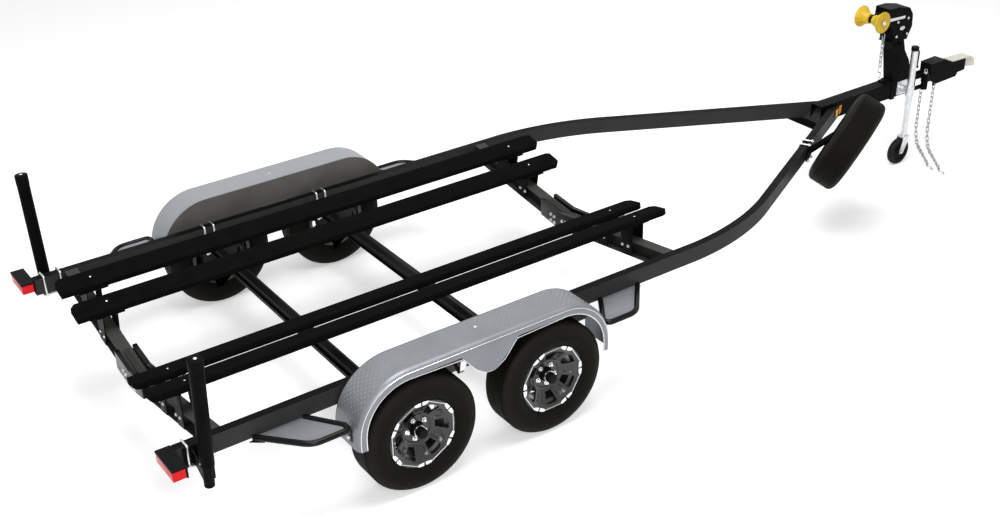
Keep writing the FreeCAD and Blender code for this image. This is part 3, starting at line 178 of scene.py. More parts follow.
class Finish(Tree):
    """A material with one Principled shader, whose inputs are set or fed by name."""

    def __init__(self, name, **fixed):
        self.material = bpy.data.materials.new(name)
        self.material.use_nodes = True
        super().__init__(self.material.node_tree)
        self.shader = self.tree.nodes["Principled BSDF"]
        self.place = self.node("ShaderNodeTexCoord", output="Object")
        for key, value in fixed.items():
            self.set(key, value)

    def set(self, name, value):
        self.feed(self.shader.inputs[name.replace("_", " ")], value)

    def noise(self, scale, detail=3.0, stretch=(1, 1, 1)):
        place = self.node("ShaderNodeVectorMath", {"operation": "MULTIPLY"}, {0: self.place, 1: stretch})
        return self.node("ShaderNodeTexNoise", None, {"Vector": place, "Scale": scale, "Detail": detail})

    def axes(self):
        split = self.node("ShaderNodeSeparateXYZ", None, {0: self.place})
        return [Wire(self, socket) for socket in split.socket.node.outputs]

    def edges(self, width):
        """1 on edges that stand out, 0 on flats, from how far the surface bends within a width."""
        bevel = self.node("ShaderNodeBevel", {"samples": 4}, {"Radius": width})
        face = self.node("ShaderNodeNewGeometry", output="Normal")
        spread = self.node("ShaderNodeVectorMath", {"operation": "DOT_PRODUCT"}, {0: bevel, 1: face}, "Value")
        return 1 - spread.ramp(0.9, 0.995)

    def upward(self):
        """How far the face looks up, as its piece remembers it: 0 on walls, 1 on tops."""
        return self.node("ShaderNodeAttribute", {"attribute_name": "sky"}, None, "Fac")

    def mix(self, factor, first, second):
        return self.node("ShaderNodeMix", {"data_type": "RGBA"}, {0: factor, 6: first, 7: second}, 2)

    def bump(self, height, depth, strength=1.0):
        made = self.node("ShaderNodeBump", None, {"Height": height, "Distance": depth, "Strength": strength})
        self.set("Normal", made)


print("trees ready")

# %% [markdown]
# ## Finishes
#
# Powder coat, zinc and rubber all look flat from far away and none of them is. Powder coat has a fine
# orange-peel skin and a film of dust, zinc is blotchy, rubber is dull where it is scuffed. Most finishes
# therefore share one recipe: a slow noise moves the colour and the gloss, a fine noise bends the light, and
# the edges, where straps and boots rub, are worn a little lighter, which on the black steel is also a
# painted highlight. The wear is found with the Bevel node, which tells how much the surface turns close by.
# A finish can also give the faces that look up a colour of their own: painted light on some tops, painted
# shade on others.

# %% One recipe for plain finishes
def rgb(red, green, blue):
    return (red, green, blue, 1.0)


def plain_finish(name, dark, light, rough, spread, scale, grain, depth, wear_and_highlight=None, top=None, **fixed):
    """Dark to light colour, roughness about rough, a fine skin, worn edges with painted highlight, a painted
    top tone.
    """
    finish = Finish(name, **fixed)
    cloud = finish.noise(scale).ramp(0.3, 0.7)
    colour = finish.mix(cloud, dark, light)
    # Faces that look up are mixed towards the top colour, a painted tone that stands for how light falls on
    # them.
    if top:
        colour = finish.mix(finish.upward().ramp(0.5, 0.9), colour, top)
    # Edges are mixed towards the wear colour: paint rubbed off, which on the black steel is also a painted
    # highlight of a rounded edge.
    if wear_and_highlight:
        rubbed = finish.edges(0.003) * finish.noise(scale * 4, 4.0).ramp(0.42, 0.62)
        colour = finish.mix(rubbed * 0.6, colour, wear_and_highlight)
    finish.set("Base_Color", colour)
    finish.set("Roughness", rough + (cloud - 0.5) * spread)
    finish.bump(finish.noise(grain, 2.0), depth)
    return finish.material


# Bare steel where edges are rubbed; this lighter edge is also the painted highlight along the frame's edges.
BARE_STEEL_AND_HIGHLIGHT = rgb(0.10, 0.10, 0.10)
# The frame's sides are grey and its last colour makes its tops near black: painted reflection on the sides,
# painted shade on the tops.
black_frame = plain_finish(
    "black_frame", rgb(0.029, 0.030, 0.029), rgb(0.036, 0.037, 0.036), 0.45, 0.16, 6, 520, 0.00012,
    BARE_STEEL_AND_HIGHLIGHT, rgb(0.0025, 0.0025, 0.0027), Specular_IOR_Level=0.04)
# Its last colour is painted light: the vee beams' tops are made lighter than their sides.
beam_black = plain_finish(
    "beam_black", rgb(0.012, 0.012, 0.012), rgb(0.018, 0.018, 0.0175), 0.5, 0.16, 6, 520, 0.00012,
    BARE_STEEL_AND_HIGHLIGHT, rgb(0.046, 0.046, 0.043), Specular_IOR_Level=0.06)
web_grey = plain_finish(
    "web_grey", rgb(0.027, 0.026, 0.024), rgb(0.036, 0.034, 0.032), 0.5, 0.16, 6, 520, 0.00012,
    BARE_STEEL_AND_HIGHLIGHT, Specular_IOR_Level=0.05)
black_steel = plain_finish(
    "black_steel", rgb(0.0030, 0.0030, 0.0032), rgb(0.0055, 0.0055, 0.0058), 0.38, 0.2, 14, 700, 0.0001,
    rgb(0.03, 0.03, 0.03), Specular_IOR_Level=0.02)
black_plastic = plain_finish(
    "black_plastic", rgb(0.0035, 0.0035, 0.0038), rgb(0.0065, 0.0065, 0.0068), 0.5, 0.1, 20, 1500, 0.00008,
    rgb(0.03, 0.03, 0.03), Specular_IOR_Level=0.05)
gloss_black = plain_finish(
    "gloss_black", rgb(0.0022, 0.0022, 0.0024), rgb(0.004, 0.004, 0.0044), 0.16, 0.08, 18, 500, 0.00005,
    rgb(0.04, 0.04, 0.04), Specular_IOR_Level=0.14)
sleeve_finish = plain_finish(
    "sleeve", rgb(0.0022, 0.0022, 0.0025), rgb(0.0045, 0.0045, 0.0048), 0.45, 0.12, 9, 300, 0.00005,
    rgb(0.015, 0.015, 0.015), Specular_IOR_Level=0.02)
axle_finish = plain_finish(
    "axle_paint", rgb(0.007, 0.007, 0.007), rgb(0.016, 0.015, 0.014), 0.5, 0.2, 9, 400, 0.0002,
    rgb(0.07, 0.055, 0.045), Specular_IOR_Level=0.2)
drum_finish = plain_finish(
    "drum_iron", rgb(0.02, 0.02, 0.021), rgb(0.05, 0.048, 0.046), 0.55, 0.2, 18, 260, 0.0003,
    rgb(0.16, 0.13, 0.11), Metallic=0.7)
zinc = plain_finish(
    "zinc", rgb(0.60, 0.61, 0.63), rgb(0.72, 0.73, 0.74), 0.36, 0.14, 30, 900, 0.00005,
    rgb(0.8, 0.8, 0.8), Metallic=1.0)
chain_zinc = plain_finish(
    "chain_zinc", rgb(0.30, 0.31, 0.32), rgb(0.46, 0.47, 0.48), 0.34, 0.14, 60, 900, 0.00005,
    rgb(0.6, 0.6, 0.6), Metallic=1.0)
cream = plain_finish(
    "cream_paint", rgb(0.62, 0.58, 0.50), rgb(0.74, 0.71, 0.63), 0.3, 0.14, 16, 420, 0.0001,
    rgb(0.45, 0.42, 0.37))
yellow = plain_finish(
    "yellow_rubber", rgb(0.55, 0.34, 0.008), rgb(0.70, 0.47, 0.02), 0.36, 0.14, 24, 500, 0.0001,
    rgb(0.5, 0.3, 0.03), Specular_IOR_Level=0.3)
caster_finish = plain_finish(
    "caster_wheel", rgb(0.006, 0.006, 0.007), rgb(0.012, 0.012, 0.013), 0.6, 0.15, 30, 600, 0.00015,
    rgb(0.05, 0.05, 0.05), Specular_IOR_Level=0.12)
panel_grey = plain_finish(
    "panel_grey", rgb(0.070, 0.067, 0.062), rgb(0.095, 0.091, 0.085), 0.5, 0.16, 7, 380, 0.0002,
    rgb(0.14, 0.14, 0.14), Specular_IOR_Level=0.3)
wheel_black = plain_finish(
    "wheel_black", rgb(0.010, 0.0105, 0.0115), rgb(0.019, 0.0195, 0.021), 0.26, 0.12, 22, 900, 0.00005,
    rgb(0.10, 0.10, 0.11), Metallic=0.3, Coat_Weight=0.3, Coat_Roughness=0.08)
window_black = plain_finish(
    "window_black", rgb(0.004, 0.004, 0.004), rgb(0.007, 0.007, 0.007), 0.5, 0.1, 20, 600, 0.0001,
    Specular_IOR_Level=0.2)
machined = plain_finish(
    "machined_metal", rgb(0.72, 0.72, 0.73), rgb(0.84, 0.84, 0.85), 0.22, 0.1, 60, 1800, 0.00003,
    rgb(0.9, 0.9, 0.9), Metallic=1.0)
print("plain finishes", len(bpy.data.materials))

# %% [markdown]
# ## Finishes with a rule
#
# Aluminium tread plate is rolled along one way, so its grain is a noise that is stretched along the sheet.
# Carpet is a mat of short fibres: no gloss at all, and a height that changes from tuft to tuft. A lamp lens
# has ribs under a clear skin. A tyre's side has rings about its axle; its finish comes with the tyres.

# %% Tread plate, carpet, lenses
def tread_plate_finish():
    finish = Finish("tread_plate", Metallic=0.45)
    cloud = finish.noise(4).ramp(0.25, 0.75)
    grain = finish.noise(90, 4.0, (0.08, 1, 1))
    rubbed = finish.edges(0.0012)
    leftwards = finish.axes()[1]
    # Beyond 0.9 m to the left, on the far fender and steps, the plate turns up to half lighter: painted light
    # on the far side.
    far_side_painted_light = leftwards.ramp(0.9, 1.1)
    base = finish.mix(cloud, rgb(0.172, 0.182, 0.201), rgb(0.205, 0.215, 0.233))
    base = finish.mix(far_side_painted_light * 0.5, base, rgb(0.40, 0.41, 0.43))
    finish.set("Base_Color", finish.mix(rubbed * 0.25, base, rgb(0.42, 0.44, 0.48)))
    finish.set("Roughness", 0.40 + (grain - 0.5) * 0.22 + (cloud - 0.5) * 0.08)
    finish.bump(grain, 0.00006)
    return finish.material


def carpet_finish():
    finish = Finish("carpet", Roughness=0.98, Specular_IOR_Level=0.02)
    tuft = finish.noise(900, 2.0)
    patch = finish.noise(12).ramp(0.35, 0.65)
    shade = patch * 0.4 + tuft * 0.6
    worn = finish.edges(0.006)
    base = finish.mix(shade, rgb(0.0028, 0.0028, 0.003), rgb(0.0052, 0.0052, 0.0055))
    finish.set("Base_Color", finish.mix(worn * 0.4, base, rgb(0.012, 0.012, 0.0125)))
    finish.bump(tuft, 0.0012, 0.6)
    return finish.material


PRISM_RATE = 1570


def lens_finish(name, deep, bright):
    """A moulded lens: fine prisms across it under a smooth clear skin."""
    finish = Finish(name, Coat_Weight=0.08, Coat_Roughness=0.05, Specular_IOR_Level=0.12)
    across, upwards = finish.axes()[1:]
    rib = (across * PRISM_RATE).sine() * 0.5 + 0.5
    cell = (upwards * PRISM_RATE).sine() * 0.5 + 0.5
    finish.set("Base_Color", finish.mix(rib * cell, deep, bright))
    finish.set("Roughness", 0.2 + rib * 0.08)
    finish.bump(rib * cell, 0.0006, 0.4)
    return finish.material


tread_plate = tread_plate_finish()
carpet = carpet_finish()
red_lens = lens_finish("red_lens", rgb(0.58, 0.003, 0.006), rgb(0.86, 0.012, 0.022))
amber_lens = lens_finish("amber_lens", rgb(0.70, 0.20, 0.004), rgb(0.90, 0.36, 0.012))
yellow_lens = lens_finish("yellow_lens", rgb(0.75, 0.38, 0.004), rgb(0.92, 0.58, 0.02))
print("ruled finishes ready")

# %% [markdown]
# ## Finishes for the pieces that stay as packed
#
# A plain turned pin or a leg inside its tube needs no second model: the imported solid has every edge. Each
# gets the finish of its real surface from a table, so that nothing is left grey by oversight. Pieces that
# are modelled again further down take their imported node's place and bring their own finish.

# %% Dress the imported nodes
DRESS = {
    panel_grey: ["fender_panels"],
    black_plastic: ["jack_crank"],
    zinc: ["winch_straps", "bow_roller_axle", "hinge_pins", "jack_leg"],
}

for finish, names in DRESS.items():
    for name in names:
        mesh = nodes[name].data
        mesh.materials.clear()
        mesh.materials.append(finish)
print("dressed", sum(len(names) for names in DRESS.values()), "packed nodes")

# %% [markdown]
# ## A mesh that grows by rows
#
# Turned, swept and rolled pieces are all the same thing: rows of points with faces between neighbours. One
# small builder takes rows, and turns, sweeps and plates are written with it. A rim value rounds the edges,
# because a real edge always catches a thin line of light and a perfectly sharp one never does.

# %% The row builder
class Rows:
    """Collects the faces of one piece, in metres."""

    def __init__(self):
        self.mesh = bmesh.new()

    def skin(self, rows, around=False, along=False, finish=0, keep=None):
        """Faces between neighbouring rows; around closes each row, along closes the last on the first."""
        made = [[self.mesh.verts.new(point) for point in row] for row in rows]
        faces = []
        for i in range(len(made) if along else len(made) - 1):
            here, there = made[i], made[(i + 1) % len(made)]
            for j in range(len(here) if around else len(here) - 1):
                if keep and not keep(i, j):
                    continue
                k = (j + 1) % len(here)
                face = self.mesh.faces.new((here[j], here[k], there[k], there[j]))
                face.material_index = finish
                faces.append(face)
        return made, faces

    def cap(self, verts, finish=0):
        self.mesh.faces.new(verts).material_index = finish

    def plate(self, outline, along, rim=0.0, finish=0):
        """A solid from an outline pushed along a way, with its edges rounded by rim."""
        first = [self.mesh.verts.new(point) for point in outline]
        last = [self.mesh.verts.new(point + along) for point in outline]
        faces = [self.mesh.faces.new(first[::-1]), self.mesh.faces.new(last)]
        for i in range(len(first)):
            j = (i + 1) % len(first)
            faces.append(self.mesh.faces.new((first[i], first[j], last[j], last[i])))
        for face in faces:
            face.material_index = finish
        if rim:
            edges = list({edge for face in faces for edge in face.edges})
            bmesh.ops.bevel(
                self.mesh, geom=edges, offset=rim, segments=3, affect="EDGES", profile=0.5, material=finish)

    def block(self, low, high, rim=0.0, finish=0):
        outline = [Vector((low.x, low.y, low.z)), Vector((high.x, low.y, low.z)),
                   Vector((high.x, high.y, low.z)), Vector((low.x, high.y, low.z))]
        self.plate(outline, Vector((0, 0, high.z - low.z)), rim, finish)

    def turn(self, profile, centre, axis, segments=64, closed=False, finish=0, finishes=None):
        """A turned piece from pairs of distance along the axis and radius, both in millimetres."""
        axis = axis.normalized()
        side = axis.orthogonal().normalized()
        other = axis.cross(side)
        rows = []
        for along, radius in profile:
            row = []
            for i in range(segments):
                angle = 2 * math.pi * i / segments
                around = side * math.cos(angle) + other * math.sin(angle)
                row.append(centre + (axis * along + around * radius) * MM)
            rows.append(row)
        for i in range(len(rows) - (0 if closed else 1)):
            pair = [rows[i], rows[(i + 1) % len(rows)]]
            self.skin(pair, around=True, finish=finishes[i] if finishes else finish)

    def tube(self, points, radius, segments=12, closed=False, finish=0):
        """A round bar through points, with its frame carried along without twist."""
        count = len(points)
        ways = []
        for i in range(count):
            before = points[i] - points[i - 1] if i or closed else points[1] - points[0]
            after = points[(i + 1) % count] - points[i] if i < count - 1 or closed else before
            ways.append((before.normalized() + after.normalized()).normalized())
        side = ways[0].orthogonal().normalized()
        rows = []
        for i, point in enumerate(points):
            if i:
                side = (ways[i - 1].rotation_difference(ways[i]) @ side).normalized()
            other = ways[i].cross(side)
            rows.append([
                point + (side * math.cos(angle) + other * math.sin(angle)) * radius
                for angle in (2 * math.pi * k / segments for k in range(segments))])
        made = self.skin(rows, around=True, along=closed, finish=finish)[0]
        if not closed:
            self.cap(made[0][::-1], finish)
            self.cap(made[-1], finish)

    def finished(self, name, finishes, sharp=40.0, place=None):
        """The object, moved by place: doubles merged, normals outwards, edges sharp above an angle."""
        if place:
            bmesh.ops.transform(self.mesh, matrix=place, verts=self.mesh.verts)
        bmesh.ops.remove_doubles(self.mesh, verts=self.mesh.verts, dist=1e-6)
        bmesh.ops.recalc_face_normals(self.mesh, faces=self.mesh.faces)
        mesh = bpy.data.meshes.new(name)
        self.mesh.to_mesh(mesh)
        self.mesh.free()
        return in_scene(name, mesh, finishes, sharp)


def in_scene(name, mesh, finishes, sharp=40.0):
    """The object of a mesh, whose faces remember how far they look up, for finishes that need it."""
    for finish in finishes:
        mesh.materials.append(finish)
    sky = mesh.attributes.new("sky", "FLOAT", "FACE").data
    for face in mesh.polygons:
        sky[face.index].value = max(0.0, face.normal.z)
    mesh.shade_smooth()
    mesh.set_sharp_from_angle(angle=math.radians(sharp))
    made = bpy.data.objects.new(name, mesh)
    bpy.context.scene.collection.objects.link(made)
    return made


def settle(piece, body, *stood_for, slot=None):
    """Puts a finished piece on its body and hides the nodes that it stands for."""
    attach(piece, body)
    if stood_for:
        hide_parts(*stood_for)
    print(piece.name, len(piece.data.polygons), "faces on", body)
    return piece


def rounded_corner(points, radius, steps=6):
    """A line through points with each inner corner turned into an arc, for bent tube and rod."""
    line = [points[0]]
    radii = radius if isinstance(radius, list) else [radius] * len(points)
    for before, corner, after, radius in zip(points, points[1:], points[2:], radii):
        back = (before - corner).normalized()
        ahead = (after - corner).normalized()
        half = back.angle(ahead) / 2
        centre = corner + (back + ahead).normalized() * (radius / math.sin(half))
        start = corner + back * (radius / math.tan(half)) - centre
        end = corner + ahead * (radius / math.tan(half)) - centre
        turns = [start.slerp(end, i / steps).normalized() * start.length for i in range(steps + 1)]
        line.extend(centre + turn for turn in turns)
    return line + [points[-1]]


print("row builder ready")

# %% [markdown]
# ## Softened steel
#
# Tubes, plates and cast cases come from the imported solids, whose edges are knife sharp. A copy of such a
# node is made solid again by merging its loose triangles, its flat faces are joined, and a Bevel modifier
# rounds every edge by the radius that drawn tube or cut plate has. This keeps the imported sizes, which a
# second model from scratch would not. A copy can be changed on its way: the level beams are made slimmer
# here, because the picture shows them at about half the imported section.

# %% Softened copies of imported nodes
def softened(name, node, body, finish, rim, slot, steps=2, change=None):
    """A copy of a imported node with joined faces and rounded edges; rim is in millimetres."""
    work = bmesh.new()
    work.from_mesh(nodes[node].data)
    bmesh.ops.transform(work, matrix=nodes[node].matrix_world, verts=work.verts)
    bmesh.ops.remove_doubles(work, verts=work.verts, dist=1e-5)
    bmesh.ops.dissolve_limit(
        work, angle_limit=math.radians(1), verts=work.verts, edges=work.edges, delimit={"NORMAL"})
    if change:
        change(work)
    mesh = bpy.data.meshes.new(name)
    work.to_mesh(mesh)
    work.free()
    made = in_scene(name, mesh, [finish], 35)
    bevel = made.modifiers.new("rim", "BEVEL")
    bevel.width = rim * MM
    bevel.segments = steps
    bevel.limit_method = "ANGLE"
    bevel.angle_limit = math.radians(40)
    bevel.harden_normals = True
    return settle(made, body, node, slot=slot)


LEVEL_FRONT, LEVEL_TOP, PACKED_WIDTH = (-500, 270), 516, 76
SLIM_WIDTH, SLIM_HEIGHT = 0.58, 0.56


def slimmer(work):
    """Makes the level beams narrow and low as in the picture; their front and top faces stay in place."""
    for vert in work.verts:
        station = vert.co.x / MM + DRAWING_SHIFT
        front = min(LEVEL_FRONT, key=lambda x: abs(x - PACKED_WIDTH / 2 - station))
        vert.co.x += (front - station) * (1 - SLIM_WIDTH) * MM
        vert.co.z = LEVEL_TOP * MM - (LEVEL_TOP * MM - vert.co.z) * SLIM_HEIGHT


softened("bent_side_rails", "side_rails", "frame", black_frame, 5, "black_frame", 3)
softened("straight_tongue_tube", "tongue_beam", "frame", black_steel, 6, "black_frame", 3)
softened("vee_beams", "vee_crossmembers", "frame", beam_black, 1.5, "black_frame")
softened("level_beams", "level_crossmembers", "frame", black_frame, 1.5, "black_frame", 2, slimmer)
softened("bunk_angles", "bunk_brackets", "frame", black_steel, 1.2, "black_steel")
softened("post_sockets", "guide_post_brackets", "frame", black_steel, 1.5, "black_steel")
softened("spare_arm", "spare_carrier", "frame", black_steel, 1.5, "black_steel")
softened("winch_column", "winch_stand", "frame", black_steel, 2, "black_steel")
softened("winch_cover", "winch_housing", "frame", black_steel, 4, "black_steel", 3)
softened("hinge_leaf_rear", "hinge_rear", "frame", black_steel, 1.2, "black_steel")
softened("hinge_leaf_front", "hinge_front", "coupler", black_steel, 1.2, "black_steel")
softened("brake_actuator_case", "actuator_case", "coupler", black_steel, 3, "black_steel", 3)
softened("coupler_head", "coupler_nose", "coupler", cream, 3, "cream_paint", 3)
softened("jack_plate", "jack_mount", "frame", zinc, 1.2, "zinc")
softened("caster_fork", "jack_fork", "caster", zinc, 1, "zinc")

# %% [markdown]
# ## Rows of bolts, links and lugs
#
# Anything that repeats is grown with Geometry Nodes. A mesh of bare points says where: each point carries a
# turn and a size. The node tree says what: a hex head, a link, a lug, made inside the tree from named sizes.
# It ends in Realize Instances and Set Material, and its result is kept as a plain mesh, so one tree serves
# every row and the file stays light.

# %% A growth: a Geometry Nodes tree with named inputs
class Growth(Tree):
    """Stands one shape on every point of a mesh, turned and sized by the point's own values."""

    def __init__(self, name, shape, **sizes):
        super().__init__(bpy.data.node_groups.new(name, "GeometryNodeTree"))
        self.keys = {}
        self.open("Points", "INPUT", "NodeSocketGeometry")
        for key, value in sizes.items():
            kind = "NodeSocketInt" if isinstance(value, int) else "NodeSocketFloat"
            self.open(key, "INPUT", kind).default_value = value
        self.open("Finish", "INPUT", "NodeSocketMaterial")
        self.open("Shape", "OUTPUT", "NodeSocketGeometry")
        entry = self.tree.nodes.new("NodeGroupInput")
        self.given = {socket.name: Wire(self, socket) for socket in entry.outputs if socket.name}
        turn = self.node("GeometryNodeInputNamedAttribute", {"data_type": "QUATERNION"}, {"Name": "turn"})
        size = self.node("GeometryNodeInputNamedAttribute", {"data_type": "FLOAT"}, {"Name": "size"})
        stood = self.node("GeometryNodeInstanceOnPoints", None, {
            "Points": self.given["Points"], "Instance": shape(self), "Rotation": turn, "Scale": size})
        solid = self.node("GeometryNodeRealizeInstances", None, {0: stood})
        coated = self.node("GeometryNodeSetMaterial", None, {0: solid, "Material": self.given["Finish"]})
        self.feed(self.tree.nodes.new("NodeGroupOutput").inputs[0], coated)

    def open(self, name, way, kind):
        socket = self.tree.interface.new_socket(name, in_out=way, socket_type=kind)
        self.keys[name] = socket.identifier
        return socket

    def cylinder(self, sides, radius, depth, middle=0.0):
        """An upright cylinder whose middle lies at a height, closed with flat ends."""
        made = self.node("GeometryNodeMeshCylinder", {"fill_type": "NGON"}, {
            "Vertices": sides, "Radius": radius, "Depth": depth})
        return self.moved(made, (0, 0, middle))

    def moved(self, shape, shift, stretch=(1, 1, 1)):
        return self.node("GeometryNodeTransform", None, {
            "Geometry": shape, "Translation": self.way(*shift), "Scale": self.way(*stretch)})

    def way(self, x, y, z):
        return self.node("ShaderNodeCombineXYZ", None, {0: x, 1: y, 2: z})

    def joined(self, *shapes):
        made = self.node("GeometryNodeJoinGeometry")
        for shape in reversed(shapes):
            self.tree.links.new(shape.socket, made.socket.node.inputs[0])
        return made


def grow(name, growth, points, finish, body, sharp=35.0, slot=None, stood_for=(), **sizes):
    """Runs a growth on (matrix, size) pairs of one body and keeps the result as a plain mesh."""
    holder = bpy.data.meshes.new(name + "_points")
    holder.from_pydata([place.translation for place, size in points], [], [])
    holder.attributes.new("turn", "QUATERNION", "POINT")
    holder.attributes.new("size", "FLOAT", "POINT")
    turns, sizes_here = holder.attributes["turn"].data, holder.attributes["size"].data
    for i, (place, size) in enumerate(points):
        turns[i].value = place.to_quaternion()
        sizes_here[i].value = size
    seed = bpy.data.objects.new(name + "_points", holder)
    bpy.context.scene.collection.objects.link(seed)
    run = seed.modifiers.new("growth", "NODES")
    run.node_group = growth.tree
    for key, value in sizes.items():
        run[growth.keys[key]] = value
    run[growth.keys["Finish"]] = finish
    ready = seed.evaluated_get(bpy.context.evaluated_depsgraph_get())
    mesh = bpy.data.meshes.new_from_object(ready)
    seed.modifiers.remove(run)
    bpy.data.objects.remove(seed)
    return settle(in_scene(name, mesh, [], sharp), body, *stood_for, slot=slot)


def facing(point, axis, size=1.0, spin=0.0):
    """A place on a point whose z axis looks along axis, with a size for what stands on it."""
    turn = axis.to_track_quat("Z", "Y").to_matrix().to_4x4() @ Matrix.Rotation(spin, 4, "Z")
    return Matrix.Translation(point) @ turn, size


# %% [markdown]
# Three heads cover the whole trailer. A hex head is a washer, a six-sided body and a small crown that
# catches the light. A nut is the same with the stud's end above it. A round head is half a flattened ball.
# They could be meshes of their own, but as trees they take their sizes as inputs.

# %% Hex heads, nuts with stud ends and round heads
def hex_head(tree):
    across, height = tree.given["Across"], tree.given["Height"]
    washer = tree.cylinder(20, across * 1.28, height * 0.3, height * 0.15)
    flats = tree.cylinder(6, across, height * 0.62, height * 0.6)
    crown = tree.node("GeometryNodeMeshCone", None, {
        "Vertices": 6, "Radius Top": across * 0.72, "Radius Bottom": across, "Depth": height * 0.12})
    return tree.joined(washer, flats, tree.moved(crown, (0, 0, height * 0.9)))


def stud_nut(tree):
    across, height = tree.given["Across"], tree.given["Height"]
    end = tree.cylinder(12, across * 0.52, tree.given["Stud"], height + tree.given["Stud"] * 0.5)
    return tree.joined(hex_head(tree), end)


def round_head(tree):
    across, height = tree.given["Across"], tree.given["Height"]
    ball = tree.node("GeometryNodeMeshUVSphere", None, {"Segments": 14, "Rings": 8, "Radius": across})
    return tree.moved(ball, (0, 0, 0), (1, 1, height / across))


HEX = Growth("hex_heads", hex_head, Across=0.009, Height=0.008)
NUT = Growth("stud_nuts", stud_nut, Across=0.009, Height=0.009, Stud=0.006)
ROUND = Growth("round_heads", round_head, Across=0.009, Height=0.004)
print("growths", [group.name for group in bpy.data.node_groups])

# %% [markdown]
# ## Tyres
#
# A trailer tyre is a turned shape: bead, bulging side with a few raised rings, round shoulder and a nearly
# flat tread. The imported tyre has 40 flat facets, so a finely turned one stands for it. Its tread blocks
# repeat hundreds of times around it, which makes them a growth: one low block, stood on rows of points.

# %% Rubber that follows the wheel
TYRE_RADIUS = 331.5
WHEEL_Y = 1181
AXLE_X = {"rear": -410, "front": 410}
WHEEL_TURN = {"rear": 120, "front": 30}
SIDE_SIGN = {"right": -1, "left": 1}
SPARE_TURN, SPARE_LEAN = math.radians(30), math.radians(26)
SPARE_PLACE = (
    Matrix.Translation(at(3372, -609, 670)) @ Euler((0, 0, SPARE_TURN)).to_matrix().to_4x4()
    @ Euler((SPARE_LEAN, 0, 0)).to_matrix().to_4x4())


def wheel_places():
    """For each wheel its name, its body, its matrix to the scene, and the turn of its pattern."""
    places = []
    for side, sign in SIDE_SIGN.items():
        for end, x in AXLE_X.items():
            place = Matrix.Translation(at(x, sign * WHEEL_Y, TYRE_RADIUS)) @ Matrix.Diagonal((1, -sign, 1, 1))
            places.append((f"{side}_{end}", f"wheel_{side}_{end}", place, WHEEL_TURN[end]))
    return places


def rubber_finish(name, centre, axle):
    """Tyre rubber with rings about its own axle and a lighter brown band of painted light on its outer side
    wall.
    """
    finish = Finish(name, Specular_IOR_Level=0.06)
    offset = finish.node("ShaderNodeVectorMath", {"operation": "SUBTRACT"}, {0: finish.place, 1: centre})
    across = finish.node("ShaderNodeVectorMath", {"operation": "DOT_PRODUCT"}, {0: offset, 1: axle}, "Value")
    reach = finish.node("ShaderNodeVectorMath", {"operation": "LENGTH"}, {0: offset}, "Value")
    radius = (reach * reach - across * across).root()
    rings = (radius * 2200).sine() * radius.ramp(0.2, 0.22) * (1 - radius.ramp(0.29, 0.3))
    cloud = finish.noise(11).ramp(0.3, 0.7)
    # From 260 mm out to the tread the rubber turns a lighter brown: painted light on the bulge of the side
    # wall.
    shoulder_painted_light = radius.ramp(0.26, 0.315) * (1 - radius.ramp(0.325, 0.329))
    dark = finish.mix(shoulder_painted_light, rgb(0.0034, 0.0031, 0.0023), rgb(0.0115, 0.0105, 0.0075))
    finish.set("Base_Color", finish.mix(cloud * 0.3, dark, rgb(0.0100, 0.0090, 0.0068)))
    finish.set("Roughness", 0.58 + cloud * 0.14)
    finish.bump(rings * 0.12 + finish.noise(420, 3.0), 0.0003, 0.5)
    return finish.material


# %% [markdown]
# Half of the section is a list of points from bead to tread, and the other half is its mirror
# image. The blocks of neighbouring rows are shifted by half a block, as on a real tread.

# %% Turned tyres
TYRE_HALF = [
    (62, 172), (76, 178), (80, 196), (86, 203), (95, 214), (97.6, 219), (98.8, 221), (101, 232),
    (102.3, 246), (102.4, 262), (101, 276), (98, 290), (94.8, 300), (93.4, 302), (91.5, 307), (87, 316),
    (81, 322), (74, 326.4), (66, 328.8), (58, 329.6), (20, 330.2)]
TYRE_PROFILE = [(-y, r) for y, r in TYRE_HALF] + [(y, r) for y, r in reversed(TYRE_HALF)]
TYRE_SEGMENTS = 112
BLOCK_ROWS = [(-52, 29), (-18.5, 33), (18.5, 33), (52, 29)]
BLOCKS_AROUND = 84


def tread_block(tree):
    return tree.node("GeometryNodeMeshCube", None, {
        "Size": tree.way(tree.given["Width"], tree.given["Length"], tree.given["Depth"])})


BLOCK = Growth("tread_blocks", tread_block, Width=0.03, Length=0.0238, Depth=0.006)


def tyre(name, place, body, node):
    rows = Rows()
    rows.turn(TYRE_PROFILE, Vector(), Vector((0, 1, 0)), TYRE_SEGMENTS, closed=True)
    centre = place.translation.copy()
    axle = place.to_3x3() @ Vector((0, 1, 0))
    rubber = rubber_finish(f"rubber_{name}", centre, axle)
    settle(rows.finished(name, [rubber], 50, place), body, node, slot="tyre")
    for i, (y, width) in enumerate(BLOCK_ROWS):
        points = []
        for k in range(BLOCKS_AROUND):
            angle = 2 * math.pi * (k + 0.5 * (i % 2)) / BLOCKS_AROUND
            out = Vector((math.sin(angle), 0, math.cos(angle)))
            spot = (out * (TYRE_RADIUS - 3.2) + Vector((0, y, 0))) * MM
            turn = Matrix((Vector((0, 1, 0)), out.cross(Vector((0, 1, 0))), out)).transposed().to_4x4()
            points.append((place @ Matrix.Translation(spot) @ turn, 1.0))
        grow(f"{name}_blocks_{i + 1}", BLOCK, points, rubber, body, 30, "tyre", Width=width * MM)


for name, body, place, turn in wheel_places():
    tyre(f"road_tyre_{name}", place, body, f"tyre_{name}")
tyre("spare_road_tyre", SPARE_PLACE, "frame", "spare_tyre")

# %% [markdown]
# ## Wheels
#
# The wheels are cast, with six broad spokes that climb outwards to the rim. Every wheel is made in its own
# axes with the outer side towards -Y. Its barrel is turned. Its face is a fan of rows between the hub pad
# and the lip: the rows' angles follow the windows, faces over a window are left out, and a push backwards
# gives the fan its thickness. That keeps the pattern editable as one table of radii.

